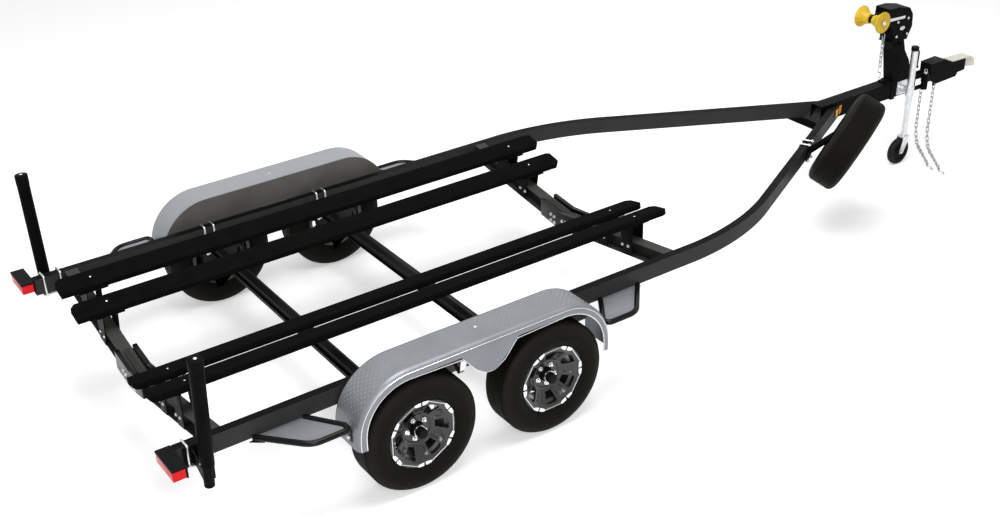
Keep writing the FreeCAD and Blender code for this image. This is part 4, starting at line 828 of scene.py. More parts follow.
# %% Barrel and spoke face
SPOKES = 6
FACE_RADII = [80, 84, 92, 98.5, 99.5, 104, 110, 128, 146, 152, 158, 162.5, 163.5, 168, 174]
WINDOW_ROWS = (99.5, 162.5)
POCKET_ROWS = (110, 146)
POCKET_DEPTH = 7
FACE_THICK, FACE_SETBACK = 14, 2
HUB_EDGE, SPOKE_END, SPOKE_DEPTH, LIP_FALL = 84, 162, 74, 0.5
SPOKE_COLUMNS = [-1, -0.9, -0.62, -0.5, -0.16, 0.16, 0.5, 0.62, 0.9, 1]
WINDOW_SHARE = [0.34, 0.66]
BARREL = [
    (-84, 172), (-84, 191), (-82.6, 194), (-79, 195), (-76, 194.6), (-75.6, 180), (-54, 178), (-42, 158),
    (42, 158), (54, 178), (75.6, 180), (76, 194.6), (81, 195), (84, 193), (84, 173), (52, 173), (40, 153),
    (-40, 153), (-52, 171)]
PAD_RAISE = 26
HUB_PAD = [
    (22, 42), (8.4 - PAD_RAISE, 42), (8 - PAD_RAISE, 42.6), (8 - PAD_RAISE, 75.2), (7.4 - PAD_RAISE, 76.4),
    (-1.4 - PAD_RAISE, 84), (3 - PAD_RAISE, 87), (15 - PAD_RAISE, 90), (22, 80)]


def window_half_angle(radius):
    """Half the window's width in degrees: widest at two thirds of its depth, round at its ends."""
    table = [(98, 9.2), (99.5, 10.6), (128, 12.6), (152, 13.7), (158, 13.0), (162.5, 10.4), (164, 9.0)]
    for (r0, a0), (r1, a1) in zip(table, table[1:]):
        if r0 <= radius <= r1:
            return a0 + (a1 - a0) * (radius - r0) / (r1 - r0)
    return 9.0


def face_point(radius, angle, share):
    """A point of the outer face; share runs from -1 to 1 across a spoke and is None over a window."""
    climb = max(0, min(radius, SPOKE_END) - HUB_EDGE) / (SPOKE_END - HUB_EDGE)
    y = -PAD_RAISE - (SPOKE_DEPTH - PAD_RAISE) * climb - max(0, radius - SPOKE_END) * LIP_FALL
    if share is not None and abs(share) <= 0.5 and POCKET_ROWS[0] <= radius <= POCKET_ROWS[1]:
        y += POCKET_DEPTH * (0.55 if abs(share) < 0.2 else 1)
    return Vector((radius * math.sin(angle), y - FACE_SETBACK, radius * math.cos(angle))) * MM


def spoke_face(rows, turn):
    columns, kinds = [], []
    for k in range(SPOKES):
        for share in SPOKE_COLUMNS:
            columns.append((k, share))
            kinds.append("spoke")
        for share in WINDOW_SHARE:
            columns.append((k, share))
            kinds.append("window")
    fan = []
    for radius in FACE_RADII:
        half = 30 - window_half_angle(radius)
        row = []
        for (k, share), kind in zip(columns, kinds):
            if kind == "spoke":
                angle, across = 60 * k + half * share, share
            else:
                angle, across = 60 * k + half + (60 - 2 * half) * share, None
            row.append(face_point(radius, math.radians(angle + turn), across))
        fan.append(row)

    def solid(i, j):
        over = kinds[j] == "window" or kinds[(j + 1) % len(kinds)] == "window"
        return not (over and WINDOW_ROWS[0] <= FACE_RADII[i] < WINDOW_ROWS[1])

    faces = rows.skin(fan, around=True, keep=solid)[1]
    back = bmesh.ops.extrude_face_region(rows.mesh, geom=faces, use_keep_orig=True)["geom"]
    moved = [item for item in back if isinstance(item, bmesh.types.BMVert)]
    bmesh.ops.translate(rows.mesh, vec=Vector((0, FACE_THICK * MM, 0)), verts=moved)
    loose = [vert for vert in rows.mesh.verts if not vert.link_faces]
    bmesh.ops.delete(rows.mesh, geom=loose, context="VERTS")


# %% [markdown]
# The lip carries what makes this wheel bright: six machined pads at the spoke ends, each with a dark notch,
# joined by thin straight lines of bare metal. Pads, lines and notches are small solids on the lip, because
# a painted ring would lose the light on their edges.

# %% Pads, bright lines and notches
PAD_HALF_SWEEP, PAD_START, PAD_STEPS = 12.5, 1.4, 6
PAD_INNER, PAD_OUTER, PAD_TAPER = 174, 194.6, 11
PAD_FACE, PAD_THICK = -83.4, 2.6
NOTCH_PLACE, NOTCH_RADIUS, NOTCH_HEIGHT = 184, 3.6, 1.8
BRIGHT_PLACE, BRIGHT_FACE, BRIGHT_RADIUS = 190, -84.2, 2.3


def ring_point(radius, degrees, y):
    angle = math.radians(degrees)
    return Vector((radius * math.sin(angle), y, radius * math.cos(angle))) * MM


def lip_pads(rows, turn, bright, dark):
    for k in range(SPOKES):
        middle = 60 * k + turn
        for sign in (-1, 1):
            outer, inner = [], []
            for i in range(PAD_STEPS + 1):
                share = i / PAD_STEPS
                degrees = middle + sign * (PAD_START + (PAD_HALF_SWEEP - PAD_START) * share)
                taper = PAD_TAPER * max(0, share - 0.25) ** 1.4
                outer.append(ring_point(PAD_OUTER, degrees, PAD_FACE))
                inner.append(ring_point(PAD_INNER + taper, degrees, PAD_FACE))
            outline = outer + inner[::-1]
            rows.plate(outline, Vector((0, -PAD_THICK * MM, 0)), 0.0007, bright)
        spot = ring_point(NOTCH_PLACE, middle, PAD_FACE)
        notch = [(0, 0), (0, NOTCH_RADIUS), (NOTCH_HEIGHT, NOTCH_RADIUS), (NOTCH_HEIGHT, 0)]
        rows.turn(notch, spot, Vector((0, -1, 0)), 14, finish=dark)
        start = ring_point(BRIGHT_PLACE, middle + PAD_HALF_SWEEP, BRIGHT_FACE)
        end = ring_point(BRIGHT_PLACE, middle + 60 - PAD_HALF_SWEEP, BRIGHT_FACE)
        rows.tube([start, (start + end) / 2, end], BRIGHT_RADIUS * MM, 8, finish=bright)


def wheel(name, place, body, node, turn):
    rows = Rows()
    rows.turn(BARREL, Vector(), Vector((0, 1, 0)), 96, closed=True)
    rows.turn(HUB_PAD, Vector(), Vector((0, 1, 0)), 72, closed=True)
    spoke_face(rows, turn)
    lip_pads(rows, turn, 1, 2)
    made = rows.finished(name, [wheel_black, machined, window_black], 32, place)
    return settle(made, body, node, slot="wheel_black")


for name, body, place, turn in wheel_places():
    wheel(f"cast_wheel_{name}", place, body, f"wheel_{name}", turn)
wheel("spare_cast_wheel", SPARE_PLACE, "frame", "spare_wheel", 0)

# %% [markdown]
# ## Hubs
#
# Behind each wheel turns an iron brake drum, dark and a little rusty. Five bright nuts hold the wheel, and a
# long black grease cap with a bright collar stands out of its middle. The nuts are a growth of five points.

# %% Drum, studs, cap and nuts
LUG_RADIUS = 57.15
LUG_START = 4
DRUM = [
    (126, 38), (36, 44), (36, 112), (126, 115), (126, 124), (123, 127), (112, 127), (110, 124.5),
    (104, 124.5), (102, 127), (26, 127), (22, 123), (22, 40), (6, 40), (6, 21), (126, 21)]
CAP = [(6, 34), (-34, 32), (-36, 31), (-40, 28.6), (-84, 28), (-87, 26.5), (-88, 24), (-88, 0)]
COLLAR = [(-44, 28.2), (-44.4, 30.6), (-45, 31), (-51, 31), (-51.6, 30.6), (-52, 28.2)]


def hub(name, body, place, turn):
    rows = Rows()
    along = Vector((0, 1, 0))
    rows.turn(DRUM, Vector(), along, 72, closed=True)
    rows.turn(CAP, Vector(), along, 40, finish=1)
    rows.turn(COLLAR, Vector(), along, 40, finish=2)
    settle(rows.finished(f"turned_hub_{name}", [drum_finish, black_plastic, machined], 35, place),
           body, f"hub_{name}", slot="drum")
    nuts = []
    for k in range(5):
        spot = ring_point(LUG_RADIUS, turn + LUG_START + 72 * k, 8 - PAD_RAISE)
        outward = place.to_3x3() @ Vector((0, -1, 0))
        nuts.append(facing(place @ spot, outward, 1.0, 0.3 * k))
    grow(f"wheel_nuts_{name}", NUT, nuts, machined, body, slot="zinc",
         Across=0.0102, Height=0.016, Stud=0.004)


for name, body, place, turn in wheel_places():
    hub(name, body, place, turn)

# %% [markdown]
# ## Bunks
#
# The bunks are boards wrapped in black carpet. The cloth rounds every edge, so the piece is the board's
# outline pushed up by its thickness, with all edges bevelled, and the carpet finish does the rest. A
# carriage bolt holds each end of a board, and its flat round head is pressed a little into the cloth.

# %% Carpeted boards and their bolts
BUNK_ENDS = (-1563, 1700)
BUNK_WIDTH, BUNK_THICK, BUNK_TILT, BUNK_CORNER = 134, 39, 12.4, 28
BUNK_ROWS = {407: 661.5, 633: 712}
BRACKET_X = (-1383, 1482)
BOLT_AHEAD, BOLT_ASIDE = 12, 8


def bunk_place(centre_y, top):
    """The matrix of a board: its top face lies in the plane z = 0."""
    tilt = math.radians(BUNK_TILT) * (1 if centre_y > 0 else -1)
    return Matrix.Translation((0, centre_y * MM, top * MM)) @ Matrix.Rotation(tilt, 4, "X")


def bunk_outline():
    rear, front = BUNK_ENDS
    half, corner = BUNK_WIDTH / 2, BUNK_CORNER
    return [
        (rear, -half), (front - corner, -half), (front, -half + corner), (front, half - corner / 2),
        (front - corner, half), (rear + corner, half), (rear, half - corner)]


rows, heads = Rows(), []
for y, top in BUNK_ROWS.items():
    for sign in (-1, 1):
        place = bunk_place(sign * y, top)
        outline = [place @ at(x, sign * across, -BUNK_THICK) for x, across in bunk_outline()]
        if sign < 0:
            outline.reverse()
        rows.plate(outline, place.to_3x3() @ Vector((0, 0, BUNK_THICK * MM)), 0.006)
        for middle in BRACKET_X:
            head = place @ at(middle + BOLT_AHEAD, sign * BOLT_ASIDE, -0.8)
            heads.append(facing(head, place.to_3x3() @ Vector((0, 0, 1))))
settle(rows.finished("carpeted_bunks", [carpet]), "frame", "bunks", slot="carpet")
grow("carriage_bolt_heads", ROUND, heads, zinc, "frame", slot="zinc", Across=0.0065, Height=0.0024)

# %% [markdown]
# ## U-bolts
#
# Bright zinc U-bolts hold the crossmembers and the guide posts to the rails. Each is one rod, bent twice
# over the rail, with its legs through a plate and a nut on each leg. The rod is a line of three straight
# runs whose corners become arcs, swept with a round section.

# %% U-bolts, plates and nuts
RAIL_INNER, RAIL_OUTER, RAIL_TOP, RAIL_BOTTOM = 964, 1014, 618, 516
ROD, ROD_PLAY, LEG_BELOW = 6, 0.3, 10
PLATE_MARGIN, PLATE_THICK = 22, 8
U_GROUPS = [(-522, 30, RAIL_OUTER, 449), (248, 30, RAIL_OUTER, 449), (-1495, 48, RAIL_OUTER + 8, 508)]

rows, nuts = Rows(), []
for middle, reach, outer, plate_z in U_GROUPS:
    for sign in (-1, 1):
        for x in (middle - reach, middle + reach):
            inner_y, outer_y = RAIL_INNER - ROD - ROD_PLAY, outer + ROD + ROD_PLAY
            over, end = RAIL_TOP + ROD + ROD_PLAY, plate_z - LEG_BELOW
            path = [(inner_y, end), (inner_y, over), (outer_y, over), (outer_y, end)]
            rows.tube(rounded_corner([at(x, sign * y, z) for y, z in path], 0.009), ROD * MM, 12)
            for y in (inner_y, outer_y):
                nuts.append(facing(at(x, sign * y, plate_z), Vector((0, 0, -1)), 1.0, 0.4))
        y0, y1 = sorted((sign * (RAIL_INNER - PLATE_MARGIN), sign * (outer + PLATE_MARGIN)))
        edge = reach + (14 if plate_z < 500 else 18)
        rows.block(at(middle - edge, y0, plate_z), at(middle + edge, y1, plate_z + PLATE_THICK), 0.0012)
settle(rows.finished("rail_u_bolts", [zinc]), "frame", "frame_u_bolts", slot="zinc")
grow("u_bolt_nuts", HEX, nuts, zinc, "frame", slot="zinc", Across=0.0105, Height=0.009)

# %% [markdown]
# ## Splice cheeks
#
# Each vee beam is two halves that are joined in the middle by glossy black cheeks on both faces. The cheeks
# stand a little above the beam, with a grey strip of its top between them. Their outline follows the vee, so
# it is worked out from the beam's height at three points and pushed along the trailer.

# %% Cheeks and the strip between them
CROSS = {"rear": (-1345, 430), "front": (1520, 478)}
CROSS_WIDTH, CROSS_HEIGHT, SPLICE = 76, 102, 26
SPLICE_REACH, SPLICE_RISE = 185, 24
STRIP_WIDTH, STRIP_THICK = 34, 8


def vee_height(centre_top, y):
    return centre_top + (RAIL_TOP - centre_top) * abs(y) / RAIL_INNER


rows = Rows()
for front_x, centre_top in CROSS.values():
    for x, thick in ((front_x, SPLICE), (front_x - CROSS_WIDTH, -SPLICE)):
        upper = [(y, vee_height(centre_top, y) + SPLICE_RISE) for y in (-SPLICE_REACH, 0, SPLICE_REACH)]
        lower = [(y, z - SPLICE_RISE - CROSS_HEIGHT + 12) for y, z in reversed(upper)]
        rows.plate([at(x, y, z) for y, z in upper + lower], Vector((thick * MM, 0, 0)), 0.003)
    upper = [(y, vee_height(centre_top, y) + STRIP_THICK) for y in (-SPLICE_REACH, 0, SPLICE_REACH)]
    strip = upper + [(y, z - STRIP_THICK) for y, z in reversed(upper)]
    rows.plate([at(front_x - 22, y, z) for y, z in strip], Vector((-STRIP_WIDTH * MM, 0, 0)), 0.002, 1)
settle(rows.finished("splice_cheeks", [gloss_black, web_grey]), "frame", slot="black_steel")

# %% [markdown]
# ## Bolts on the frame
#
# Splice plates, bunk angles, step ends, the winch column and the hinge are bolted. The heads are small, and
# yet they are what the eye uses to judge the size of a trailer. They are collected as one table of points
# and directions, then grown at once: zinc on the frame, black on the black castings.

# %% Hex heads of the frame
SPLICE_BOLTS, SPLICE_DROPS = (-74, -40, 40, 74), (26, 66)
ANGLE_SHIFTS, ANGLE_DROP = (-26, 26), 34
STEP_BOLT = (796, 1205, 450)
PANEL_BOLTS_X, PANEL_BOLT_Y, PANEL_BOLT_Z = (-96, 28), 1020, 578
FENDER_BOLT_Y, FENDER_BOLT_Z = 1150, 755

heads = []
for front_x, centre_top in CROSS.values():
    for x, axis in ((front_x + SPLICE, 1), (front_x - CROSS_WIDTH - SPLICE, -1)):
        for y in SPLICE_BOLTS:
            for drop in SPLICE_DROPS:
                heads.append(facing(at(x, y, vee_height(centre_top, y) - drop), Vector((axis, 0, 0)), 1.0, y))
    for x, axis in ((front_x + 6, 1), (front_x - CROSS_WIDTH - 6, -1)):
        for y in BUNK_ROWS:
            for sign in (-1, 1):
                for shift in ANGLE_SHIFTS:
                    spot = at(x, sign * (y + shift), vee_height(centre_top, y + shift) - ANGLE_DROP)
                    heads.append(facing(spot, Vector((axis, 0, 0)), 0.9, shift))
for sign in (-1, 1):
    for end in (-1, 1):
        spot = at(end * STEP_BOLT[0], sign * STEP_BOLT[1], STEP_BOLT[2])
        heads.append(facing(spot, Vector((end, 0, 0)), 1.1, 0.2))
    for x in PANEL_BOLTS_X:
        heads.append(facing(at(x, sign * PANEL_BOLT_Y, PANEL_BOLT_Z), Vector((0, sign, 0)), 1.0, 0.5))
    heads.append(facing(at(0, sign * FENDER_BOLT_Y, FENDER_BOLT_Z), Vector((0, 0, 1)), 0.8, 0.1))
print(len(heads), "frame bolts")
grow("frame_bolt_heads", HEX, heads, zinc, "frame", slot="zinc", Across=0.0085, Height=0.008)

BLACK_BOLTS = {
    58: [(4682, 545), (4682, 613), (4718, 545), (4718, 613)],
    47: [(4480, 930), (4536, 930), (4560, 700), (4620, 700)],
    1022: [(-1549, 538), (-1549, 596), (-1441, 538), (-1441, 596)]}
heads = []
for sign in (-1, 1):
    for y, spots in BLACK_BOLTS.items():
        for x, z in spots:
            heads.append(facing(at(x, sign * y, z), Vector((0, sign, 0)), 0.9, x))
grow("black_bolt_heads", HEX, heads, black_steel, "frame", slot="black_steel", Across=0.0085, Height=0.008)

# %% [markdown]
# ## Axles
#
# The picture shows one beam across the frame at each axle and no tube beside it. In the copy of the packed
# axles each tube is therefore moved in line with its hubs, with its hangers and arms, and lowered. It is
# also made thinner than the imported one, so that the beams hide it from the picture's camera: its true
# thickness can't be read from the picture.

# %% Axle tubes in line with the hubs
ARM_RUN, ARM_START, TUBE_REACH = 125, 60, 1019.5
TUBE_LIFT, TUBE_TOP, TUBE_MIDDLE, TUBE_SHARE = 94, 461, 331, 0.62


def to_hub_line(work):
    """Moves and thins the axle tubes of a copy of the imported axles."""
    for vert in work.verts:
        station = vert.co.x / MM + DRAWING_SHIFT
        middle = min(AXLE_X.values(), key=lambda x: abs(x + ARM_RUN / 2 - station))
        on_tube = abs(vert.co.y) < TUBE_REACH * MM
        if on_tube or station - middle > ARM_START:
            vert.co.x -= ARM_RUN * MM
            if vert.co.z < TUBE_TOP * MM or not on_tube:
                vert.co.z -= TUBE_LIFT * MM
        if on_tube and vert.co.z < (TUBE_TOP - TUBE_LIFT) * MM:
            centre = Vector(((middle - DRAWING_SHIFT) * MM, vert.co.y, TUBE_MIDDLE * MM))
            vert.co = centre + (vert.co - centre) * TUBE_SHARE


softened("axle_beams", "axles", "frame", axle_finish, 1.5, "axle_paint", 2, to_hub_line)

# %% [markdown]
# ## Junction of rails and tongue
#
# Ahead of its bend each rail slants inwards by 27.3 degrees until it meets the tongue. There a black plate
# lies below both rails, and a grey web leans forward between them. Both are flat, so they are outlines
# between the rails, worked out from the slant and pushed by their thickness.

# %% Junction plate and its leaning web
BEND_X, BEND_Y, RAIL_TURN = 2052, 989, math.radians(27.3)
JUNCTION_REAR, JUNCTION_FRONT, JUNCTION_THICK = 3632, 3898, 7.6
WEB_FOOT, WEB_TOP, WEB_TOP_Z, WEB_THICK, WEB_SETBACK = 3722, 3806, 612, 8, 29.5


def rail_middle(x):
    """How far the middle of a slanted rail lies from the centre line."""
    return BEND_Y - (x - BEND_X) * math.tan(RAIL_TURN)


rows = Rows()
ends = [(x, rail_middle(x)) for x in (JUNCTION_REAR, JUNCTION_FRONT)]
outline = [at(x, y, RAIL_BOTTOM - 8) for x, y in ends + [(x, -y) for x, y in reversed(ends)]]
rows.plate(outline[::-1], Vector((0, 0, JUNCTION_THICK * MM)), 0.001)
foot, top = rail_middle(WEB_FOOT) - WEB_SETBACK, rail_middle(WEB_TOP) - WEB_SETBACK
web = [at(WEB_FOOT, -foot, RAIL_BOTTOM), at(WEB_FOOT, foot, RAIL_BOTTOM),
       at(WEB_TOP, top, WEB_TOP_Z), at(WEB_TOP, -top, WEB_TOP_Z)]
rows.plate(web, Vector((WEB_THICK * MM, 0, 0)), 0.001, 1)
settle(rows.finished("junction_plate", [black_steel, web_grey]), "frame", "tongue_gusset", slot="black_steel")

# %% [markdown]
# ## Fenders
#
# The fenders are rolled from aluminium tread plate, with an edge that is turned over and two fine beads that
# stiffen it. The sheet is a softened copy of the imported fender. It is drawn in a little at its outer face, so
# that the raised pattern on it stays inside the true width, and the nose of its skirt is made blunter, as in
# the picture. Edge and beads are rods swept along the arch.

# %% Sheet, turned edge and beads
FENDER_END, FENDER_RADIUS, FENDER_TOP, FENDER_BOTTOM = 790, 310, 755, 392
FENDER_INNER, FENDER_OUTER, FENDER_ROLL, FENDER_LIP = 1064, 1291, 38, 46
DRAWN_IN, SKIRT_REACH = 1.4, 300
BLUNT_FROM, BLUNT_SHARE = 600, 0.53


def blunt(z):
    """The height of a point of the skirt once its nose is rounded off."""
    return z if z > BLUNT_FROM else BLUNT_FROM - (BLUNT_FROM - z) * BLUNT_SHARE


def draw_in(work):
    """Draws the outer face of the fenders in and rounds the skirts' noses."""
    for vert in work.verts:
        if abs(vert.co.y) > (FENDER_OUTER - 8) * MM and abs(vert.co.x - at(0, 0, 0).x) < SKIRT_REACH * MM:
            vert.co.z = blunt(vert.co.z / MM) * MM
        if abs(vert.co.y) > (FENDER_OUTER - 1) * MM:
            vert.co.y -= math.copysign(DRAWN_IN * MM, vert.co.y)


def arch(inset, low=FENDER_BOTTOM, step=6.0):
    """Points of the fender's side outline as x, z and the direction outwards, inset from the sheet."""
    radius, centre_x, centre_z = FENDER_RADIUS - inset, FENDER_END - FENDER_RADIUS, FENDER_TOP - FENDER_RADIUS
    points = [(-FENDER_END + inset, low, (-1, 0))]
    for i in range(int(90 / step) + 1):
        angle = math.radians(180 - i * step)
        way = (math.cos(angle), math.sin(angle))
        points.append((-centre_x + radius * way[0], centre_z + radius * way[1], way))
    return points + [(-x, z, (-way[0], way[1])) for x, z, way in reversed(points)]


def arc_through(first, middle, last, steps):
    """Points of the circle's arc through three points of x and z."""
    (ax, az), (bx, bz), (cx, cz) = first, middle, last
    d = 2 * (ax * (bz - cz) + bx * (cz - az) + cx * (az - bz))
    a, b, c = ax * ax + az * az, bx * bx + bz * bz, cx * cx + cz * cz
    ux = (a * (bz - cz) + b * (cz - az) + c * (az - bz)) / d
    uz = (a * (cx - bx) + b * (ax - cx) + c * (bx - ax)) / d
    radius = math.hypot(ax - ux, az - uz)
    turns = [math.atan2(z - uz, x - ux) for x, z in (first, middle, last)]
    for i in (1, 2):
        while turns[i] - turns[i - 1] > math.pi:
            turns[i] -= 2 * math.pi
        while turns[i] - turns[i - 1] < -math.pi:
            turns[i] += 2 * math.pi
    span = turns[2] - turns[0]
    return [(ux + radius * math.cos(turns[0] + span * i / steps),
             uz + radius * math.sin(turns[0] + span * i / steps)) for i in range(steps + 1)]


NOSE = (45.96, 551.43)
side_arc = arc_through((215, 753), (118.25, 638.2), NOSE, 14)
skirt_side = [(x, z) for x, z in side_arc if z < FENDER_TOP - FENDER_LIP]
nose_arc = arc_through(NOSE, (0, 530), (-NOSE[0], NOSE[1]), 10)
skirt = skirt_side + nose_arc[1:-1] + [(-x, z) for x, z in reversed(skirt_side)]
skirt = [(x, blunt(z)) for x, z in skirt]

softened("tread_plate_fenders", "fenders", "frame", tread_plate, 1.0, "tread_plate", 2, draw_in)
rows = Rows()
for sign in (-1, 1):
    def outer(points, y):
        return [at(x, sign * y, z) for x, z in points]
    lip = [(x, z) for x, z, way in arch(FENDER_LIP + 2)]
    half = len(lip) // 2
    edge = lip[:half] + [(-x, z) for x, z in skirt] + lip[half:]
    rows.tube(outer(edge, FENDER_OUTER - 5), 3.4 * MM, 8)
    for inset, depth in ((FENDER_ROLL - 8, 4.4), (FENDER_ROLL - 20, 6.8)):
        bead = [(x, z) for x, z, way in arch(inset)]
        rows.tube(outer(bead, FENDER_OUTER - depth), 2.2 * MM, 8)
settle(rows.finished("fender_edges", [machined]), "frame", slot="tread_plate")

# %% [markdown]
# ## Tread pattern
#
# The plate's pattern is rows of short raised bars, each turned a quarter from its neighbours. It is real
# relief, so it is grown as solids: one point for each square of the sheet, on the arched tops, on the
# skirts and on the steps. A bar has a few faces only, because there are thousands.

# %% Bars of the tread plate
BAR_PITCH, BARS_ACROSS = 17, 11
BAR_HEIGHT = 0.0009


def tread_bar(tree):
    body = tree.node("GeometryNodeMeshCone", None, {
        "Vertices": 6, "Radius Top": 0.5, "Radius Bottom": 1.0, "Depth": 1.0})
    given = tree.given
    return tree.moved(body, (0, 0, -0.0002), (given["Length"] * 0.5, given["Width"] * 0.5, given["Height"]))


BAR = Growth("tread_bars", tread_bar, Length=0.0145, Width=0.0034, Height=BAR_HEIGHT)


def bar_at(point, along, out, odd):
    """A bar on a surface that faces out, turned to the left or to the right of the way along."""
    across = out.cross(along)
    frame_axes = Matrix((along, across, out)).transposed().to_4x4()
    turn = Matrix.Rotation(math.radians(45 if odd else -45), 4, "Z")
    return Matrix.Translation(point) @ frame_axes @ turn, 1.0


def arch_walk(pitch):
    """Evenly spaced points along the arch with their outward directions."""
    line = arch(0, FENDER_BOTTOM + 10, 2.0)
    left = pitch / 2
    for (x0, z0, w0), (x1, z1, w1) in zip(line, line[1:]):
        length = math.hypot(x1 - x0, z1 - z0)
        while left < length:
            share = left / length
            way = Vector((w0[0] + (w1[0] - w0[0]) * share, 0, w0[1] + (w1[1] - w0[1]) * share)).normalized()
            yield x0 + (x1 - x0) * share, z0 + (z1 - z0) * share, way
            left += pitch
        left -= length


def inside(outline, x, y, margin):
    """Whether a point lies in an outline, at least a margin from each of its sides."""
    hits, near = 0, 1e9
    for (x0, y0), (x1, y1) in zip(outline, outline[1:] + outline[:1]):
        if (y0 > y) != (y1 > y) and x < x0 + (x1 - x0) * (y - y0) / (y1 - y0):
            hits += 1
        length = max(math.hypot(x1 - x0, y1 - y0), 1e-6)
        share = max(0, min(1, ((x - x0) * (x1 - x0) + (y - y0) * (y1 - y0)) / length ** 2))
        near = min(near, math.hypot(x - x0 - share * (x1 - x0), y - y0 - share * (y1 - y0)))
    return hits % 2 == 1 and near > margin


bars = []
for i, (x, z, way) in enumerate(arch_walk(BAR_PITCH)):
    for j in range(BARS_ACROSS):
        y = FENDER_INNER + 12 + BAR_PITCH * j
        for sign in (-1, 1):
            along = Vector((way.z, 0, -way.x))
            bars.append(bar_at(at(x, sign * y, z), along, way, (i + j) % 2))
skirt_face = [(200, 700)] + skirt + [(-200, 700)]
for i in range(-13, 14):
    for j in range(10):
        x, z = i * BAR_PITCH, 696 - j * BAR_PITCH
        if inside(skirt_face, x, z, 14):
            for sign in (-1, 1):
                spot = at(x, sign * (FENDER_OUTER - DRAWN_IN), z)
                bars.append(bar_at(spot, Vector((1, 0, 0)), Vector((0, sign, 0)), (i + j) % 2))
print(len(bars), "bars on the fenders")
grow("fender_tread_bars", BAR, bars, tread_plate, "frame", 30, "tread_plate")

# %% [markdown]
# ## Steps
#
# Ahead of and behind each fender a step hangs on the rail: a loop of bent tube that carries a sheet of tread
# plate, with a foot plate under it by the rail and a tab at the fender's end. One path with rounded bends
# serves the tube, the sheet and the limits of the bars on it, so that they can't drift apart.

# %% Loops, sheets and their bars
STEP_PATH = [(1208, 1002), (1010, 1240), (808, 1240), (808, 1195), (935, 1002)]
STEP_BENDS = [0.11, 0.03, 0.02]
STEP_Z, STEP_TUBE, STEP_SHEET = 520, 16, 4
STEP_FOOT, FOOT_THICK = [(1232, 1015), (1140, 1015), (1172, 1062)], 6
STEP_TAB = ((791, 1180, 430), (796, 1230, 506))
STEP_MARGIN, STEP_BAR_PITCH = 24, 11.9

line = rounded_corner([Vector((x, y, 0)) * MM for x, y in STEP_PATH], STEP_BENDS, 8)
STEP = [(point.x / MM, max(point.y / MM, RAIL_OUTER + 0.3)) for point in line]
tubes, sheets = Rows(), Rows()
for end in (-1, 1):
    for sign in (-1, 1):
        tubes.tube([at(end * x, sign * y, STEP_Z) for x, y in STEP], STEP_TUBE * MM, 16)
        outline = [at(end * x, sign * y, STEP_Z - STEP_TUBE - FOOT_THICK) for x, y in STEP_FOOT]
        tubes.plate(outline, Vector((0, 0, FOOT_THICK * MM)))
        tab = [at(end * x, sign * y, z) for x, y, z in STEP_TAB]
        low = Vector([min(pair) for pair in zip(*tab)])
        high = Vector([max(pair) for pair in zip(*tab)])
        tubes.block(low, high, 0.0008)
        outline = [at(end * x, sign * y, STEP_Z - STEP_SHEET / 2) for x, y in STEP]
        sheets.plate(outline if end * sign > 0 else outline[::-1], Vector((0, 0, STEP_SHEET * MM)))
settle(tubes.finished("step_loops", [gloss_black]), "frame", "step_frames", slot="black_steel")
settle(sheets.finished("step_sheets", [tread_plate]), "frame", "step_plates", slot="tread_plate")
bars = []
for i in range(40):
    for j in range(14):
        x, y = 800 + i * STEP_BAR_PITCH, 1020 + j * STEP_BAR_PITCH
        if inside(STEP, x, y, STEP_MARGIN):
            for end in (-1, 1):
                for sign in (-1, 1):
                    spot = at(end * x, sign * y, STEP_Z + STEP_SHEET / 2)
                    bars.append(bar_at(spot, Vector((1, 0, 0)), Vector((0, 0, 1)), (i + j) % 2))
grow("step_tread_bars", BAR, bars, tread_plate, "frame", 30, "tread_plate", Length=0.014, Width=0.0042)

# %% [markdown]
# ## Stays of the skirts
#
# Behind each skirt a short V of black strip hangs from the fender's inner bracket, with a bright bolt plate
# on it. It is a flat shape, so a plate that is pushed along one way is enough.

# %% Skirt stays
STAY_VEE = [
    (-163, 628), (-128, 532), (-92, 532), (-62, 628), (-80, 628), (-104, 556), (-116, 556), (-145, 628)]
STAY_STRAP = [(-122, 546), (-84, 546), (-76, 606), (-114, 606)]

rows = Rows()
for sign in (-1, 1):
    for shape, y, thick, finish in ((STAY_VEE, 1172, 6, 0), (STAY_STRAP, 1180, 5, 1)):
        outline = [at(x, sign * y, z) for x, z in shape]
        rows.plate(outline if sign < 0 else outline[::-1], Vector((0, -sign * thick * MM, 0)), 0.001, finish)
    y0, y1 = sorted((sign * 1130, sign * 1180))
    rows.block(at(-104, y0, 612), at(-98, y1, 628), 0.001)
settle(rows.finished("skirt_stays", [black_steel, zinc]), "frame", slot="black_steel")

# %% [markdown]
# ## Rear lamps
#
# Each rear lamp is a red lens that wraps around the end of the rail, below a black cap. The cap is a softened
# copy. The lens is a block with rounded edges, and its prisms come from the lens finish, because they lie
# below the smooth outer skin on the real one as well.

# %% Lamp caps, lenses and screws
LAMP_REAR, LAMP_FRONT = -1675, -1597
LAMP_INNER, LAMP_OUTER = 955, 1155
LENS_BOTTOM, LENS_TOP, SCREW_INSET = 549, 603, 22

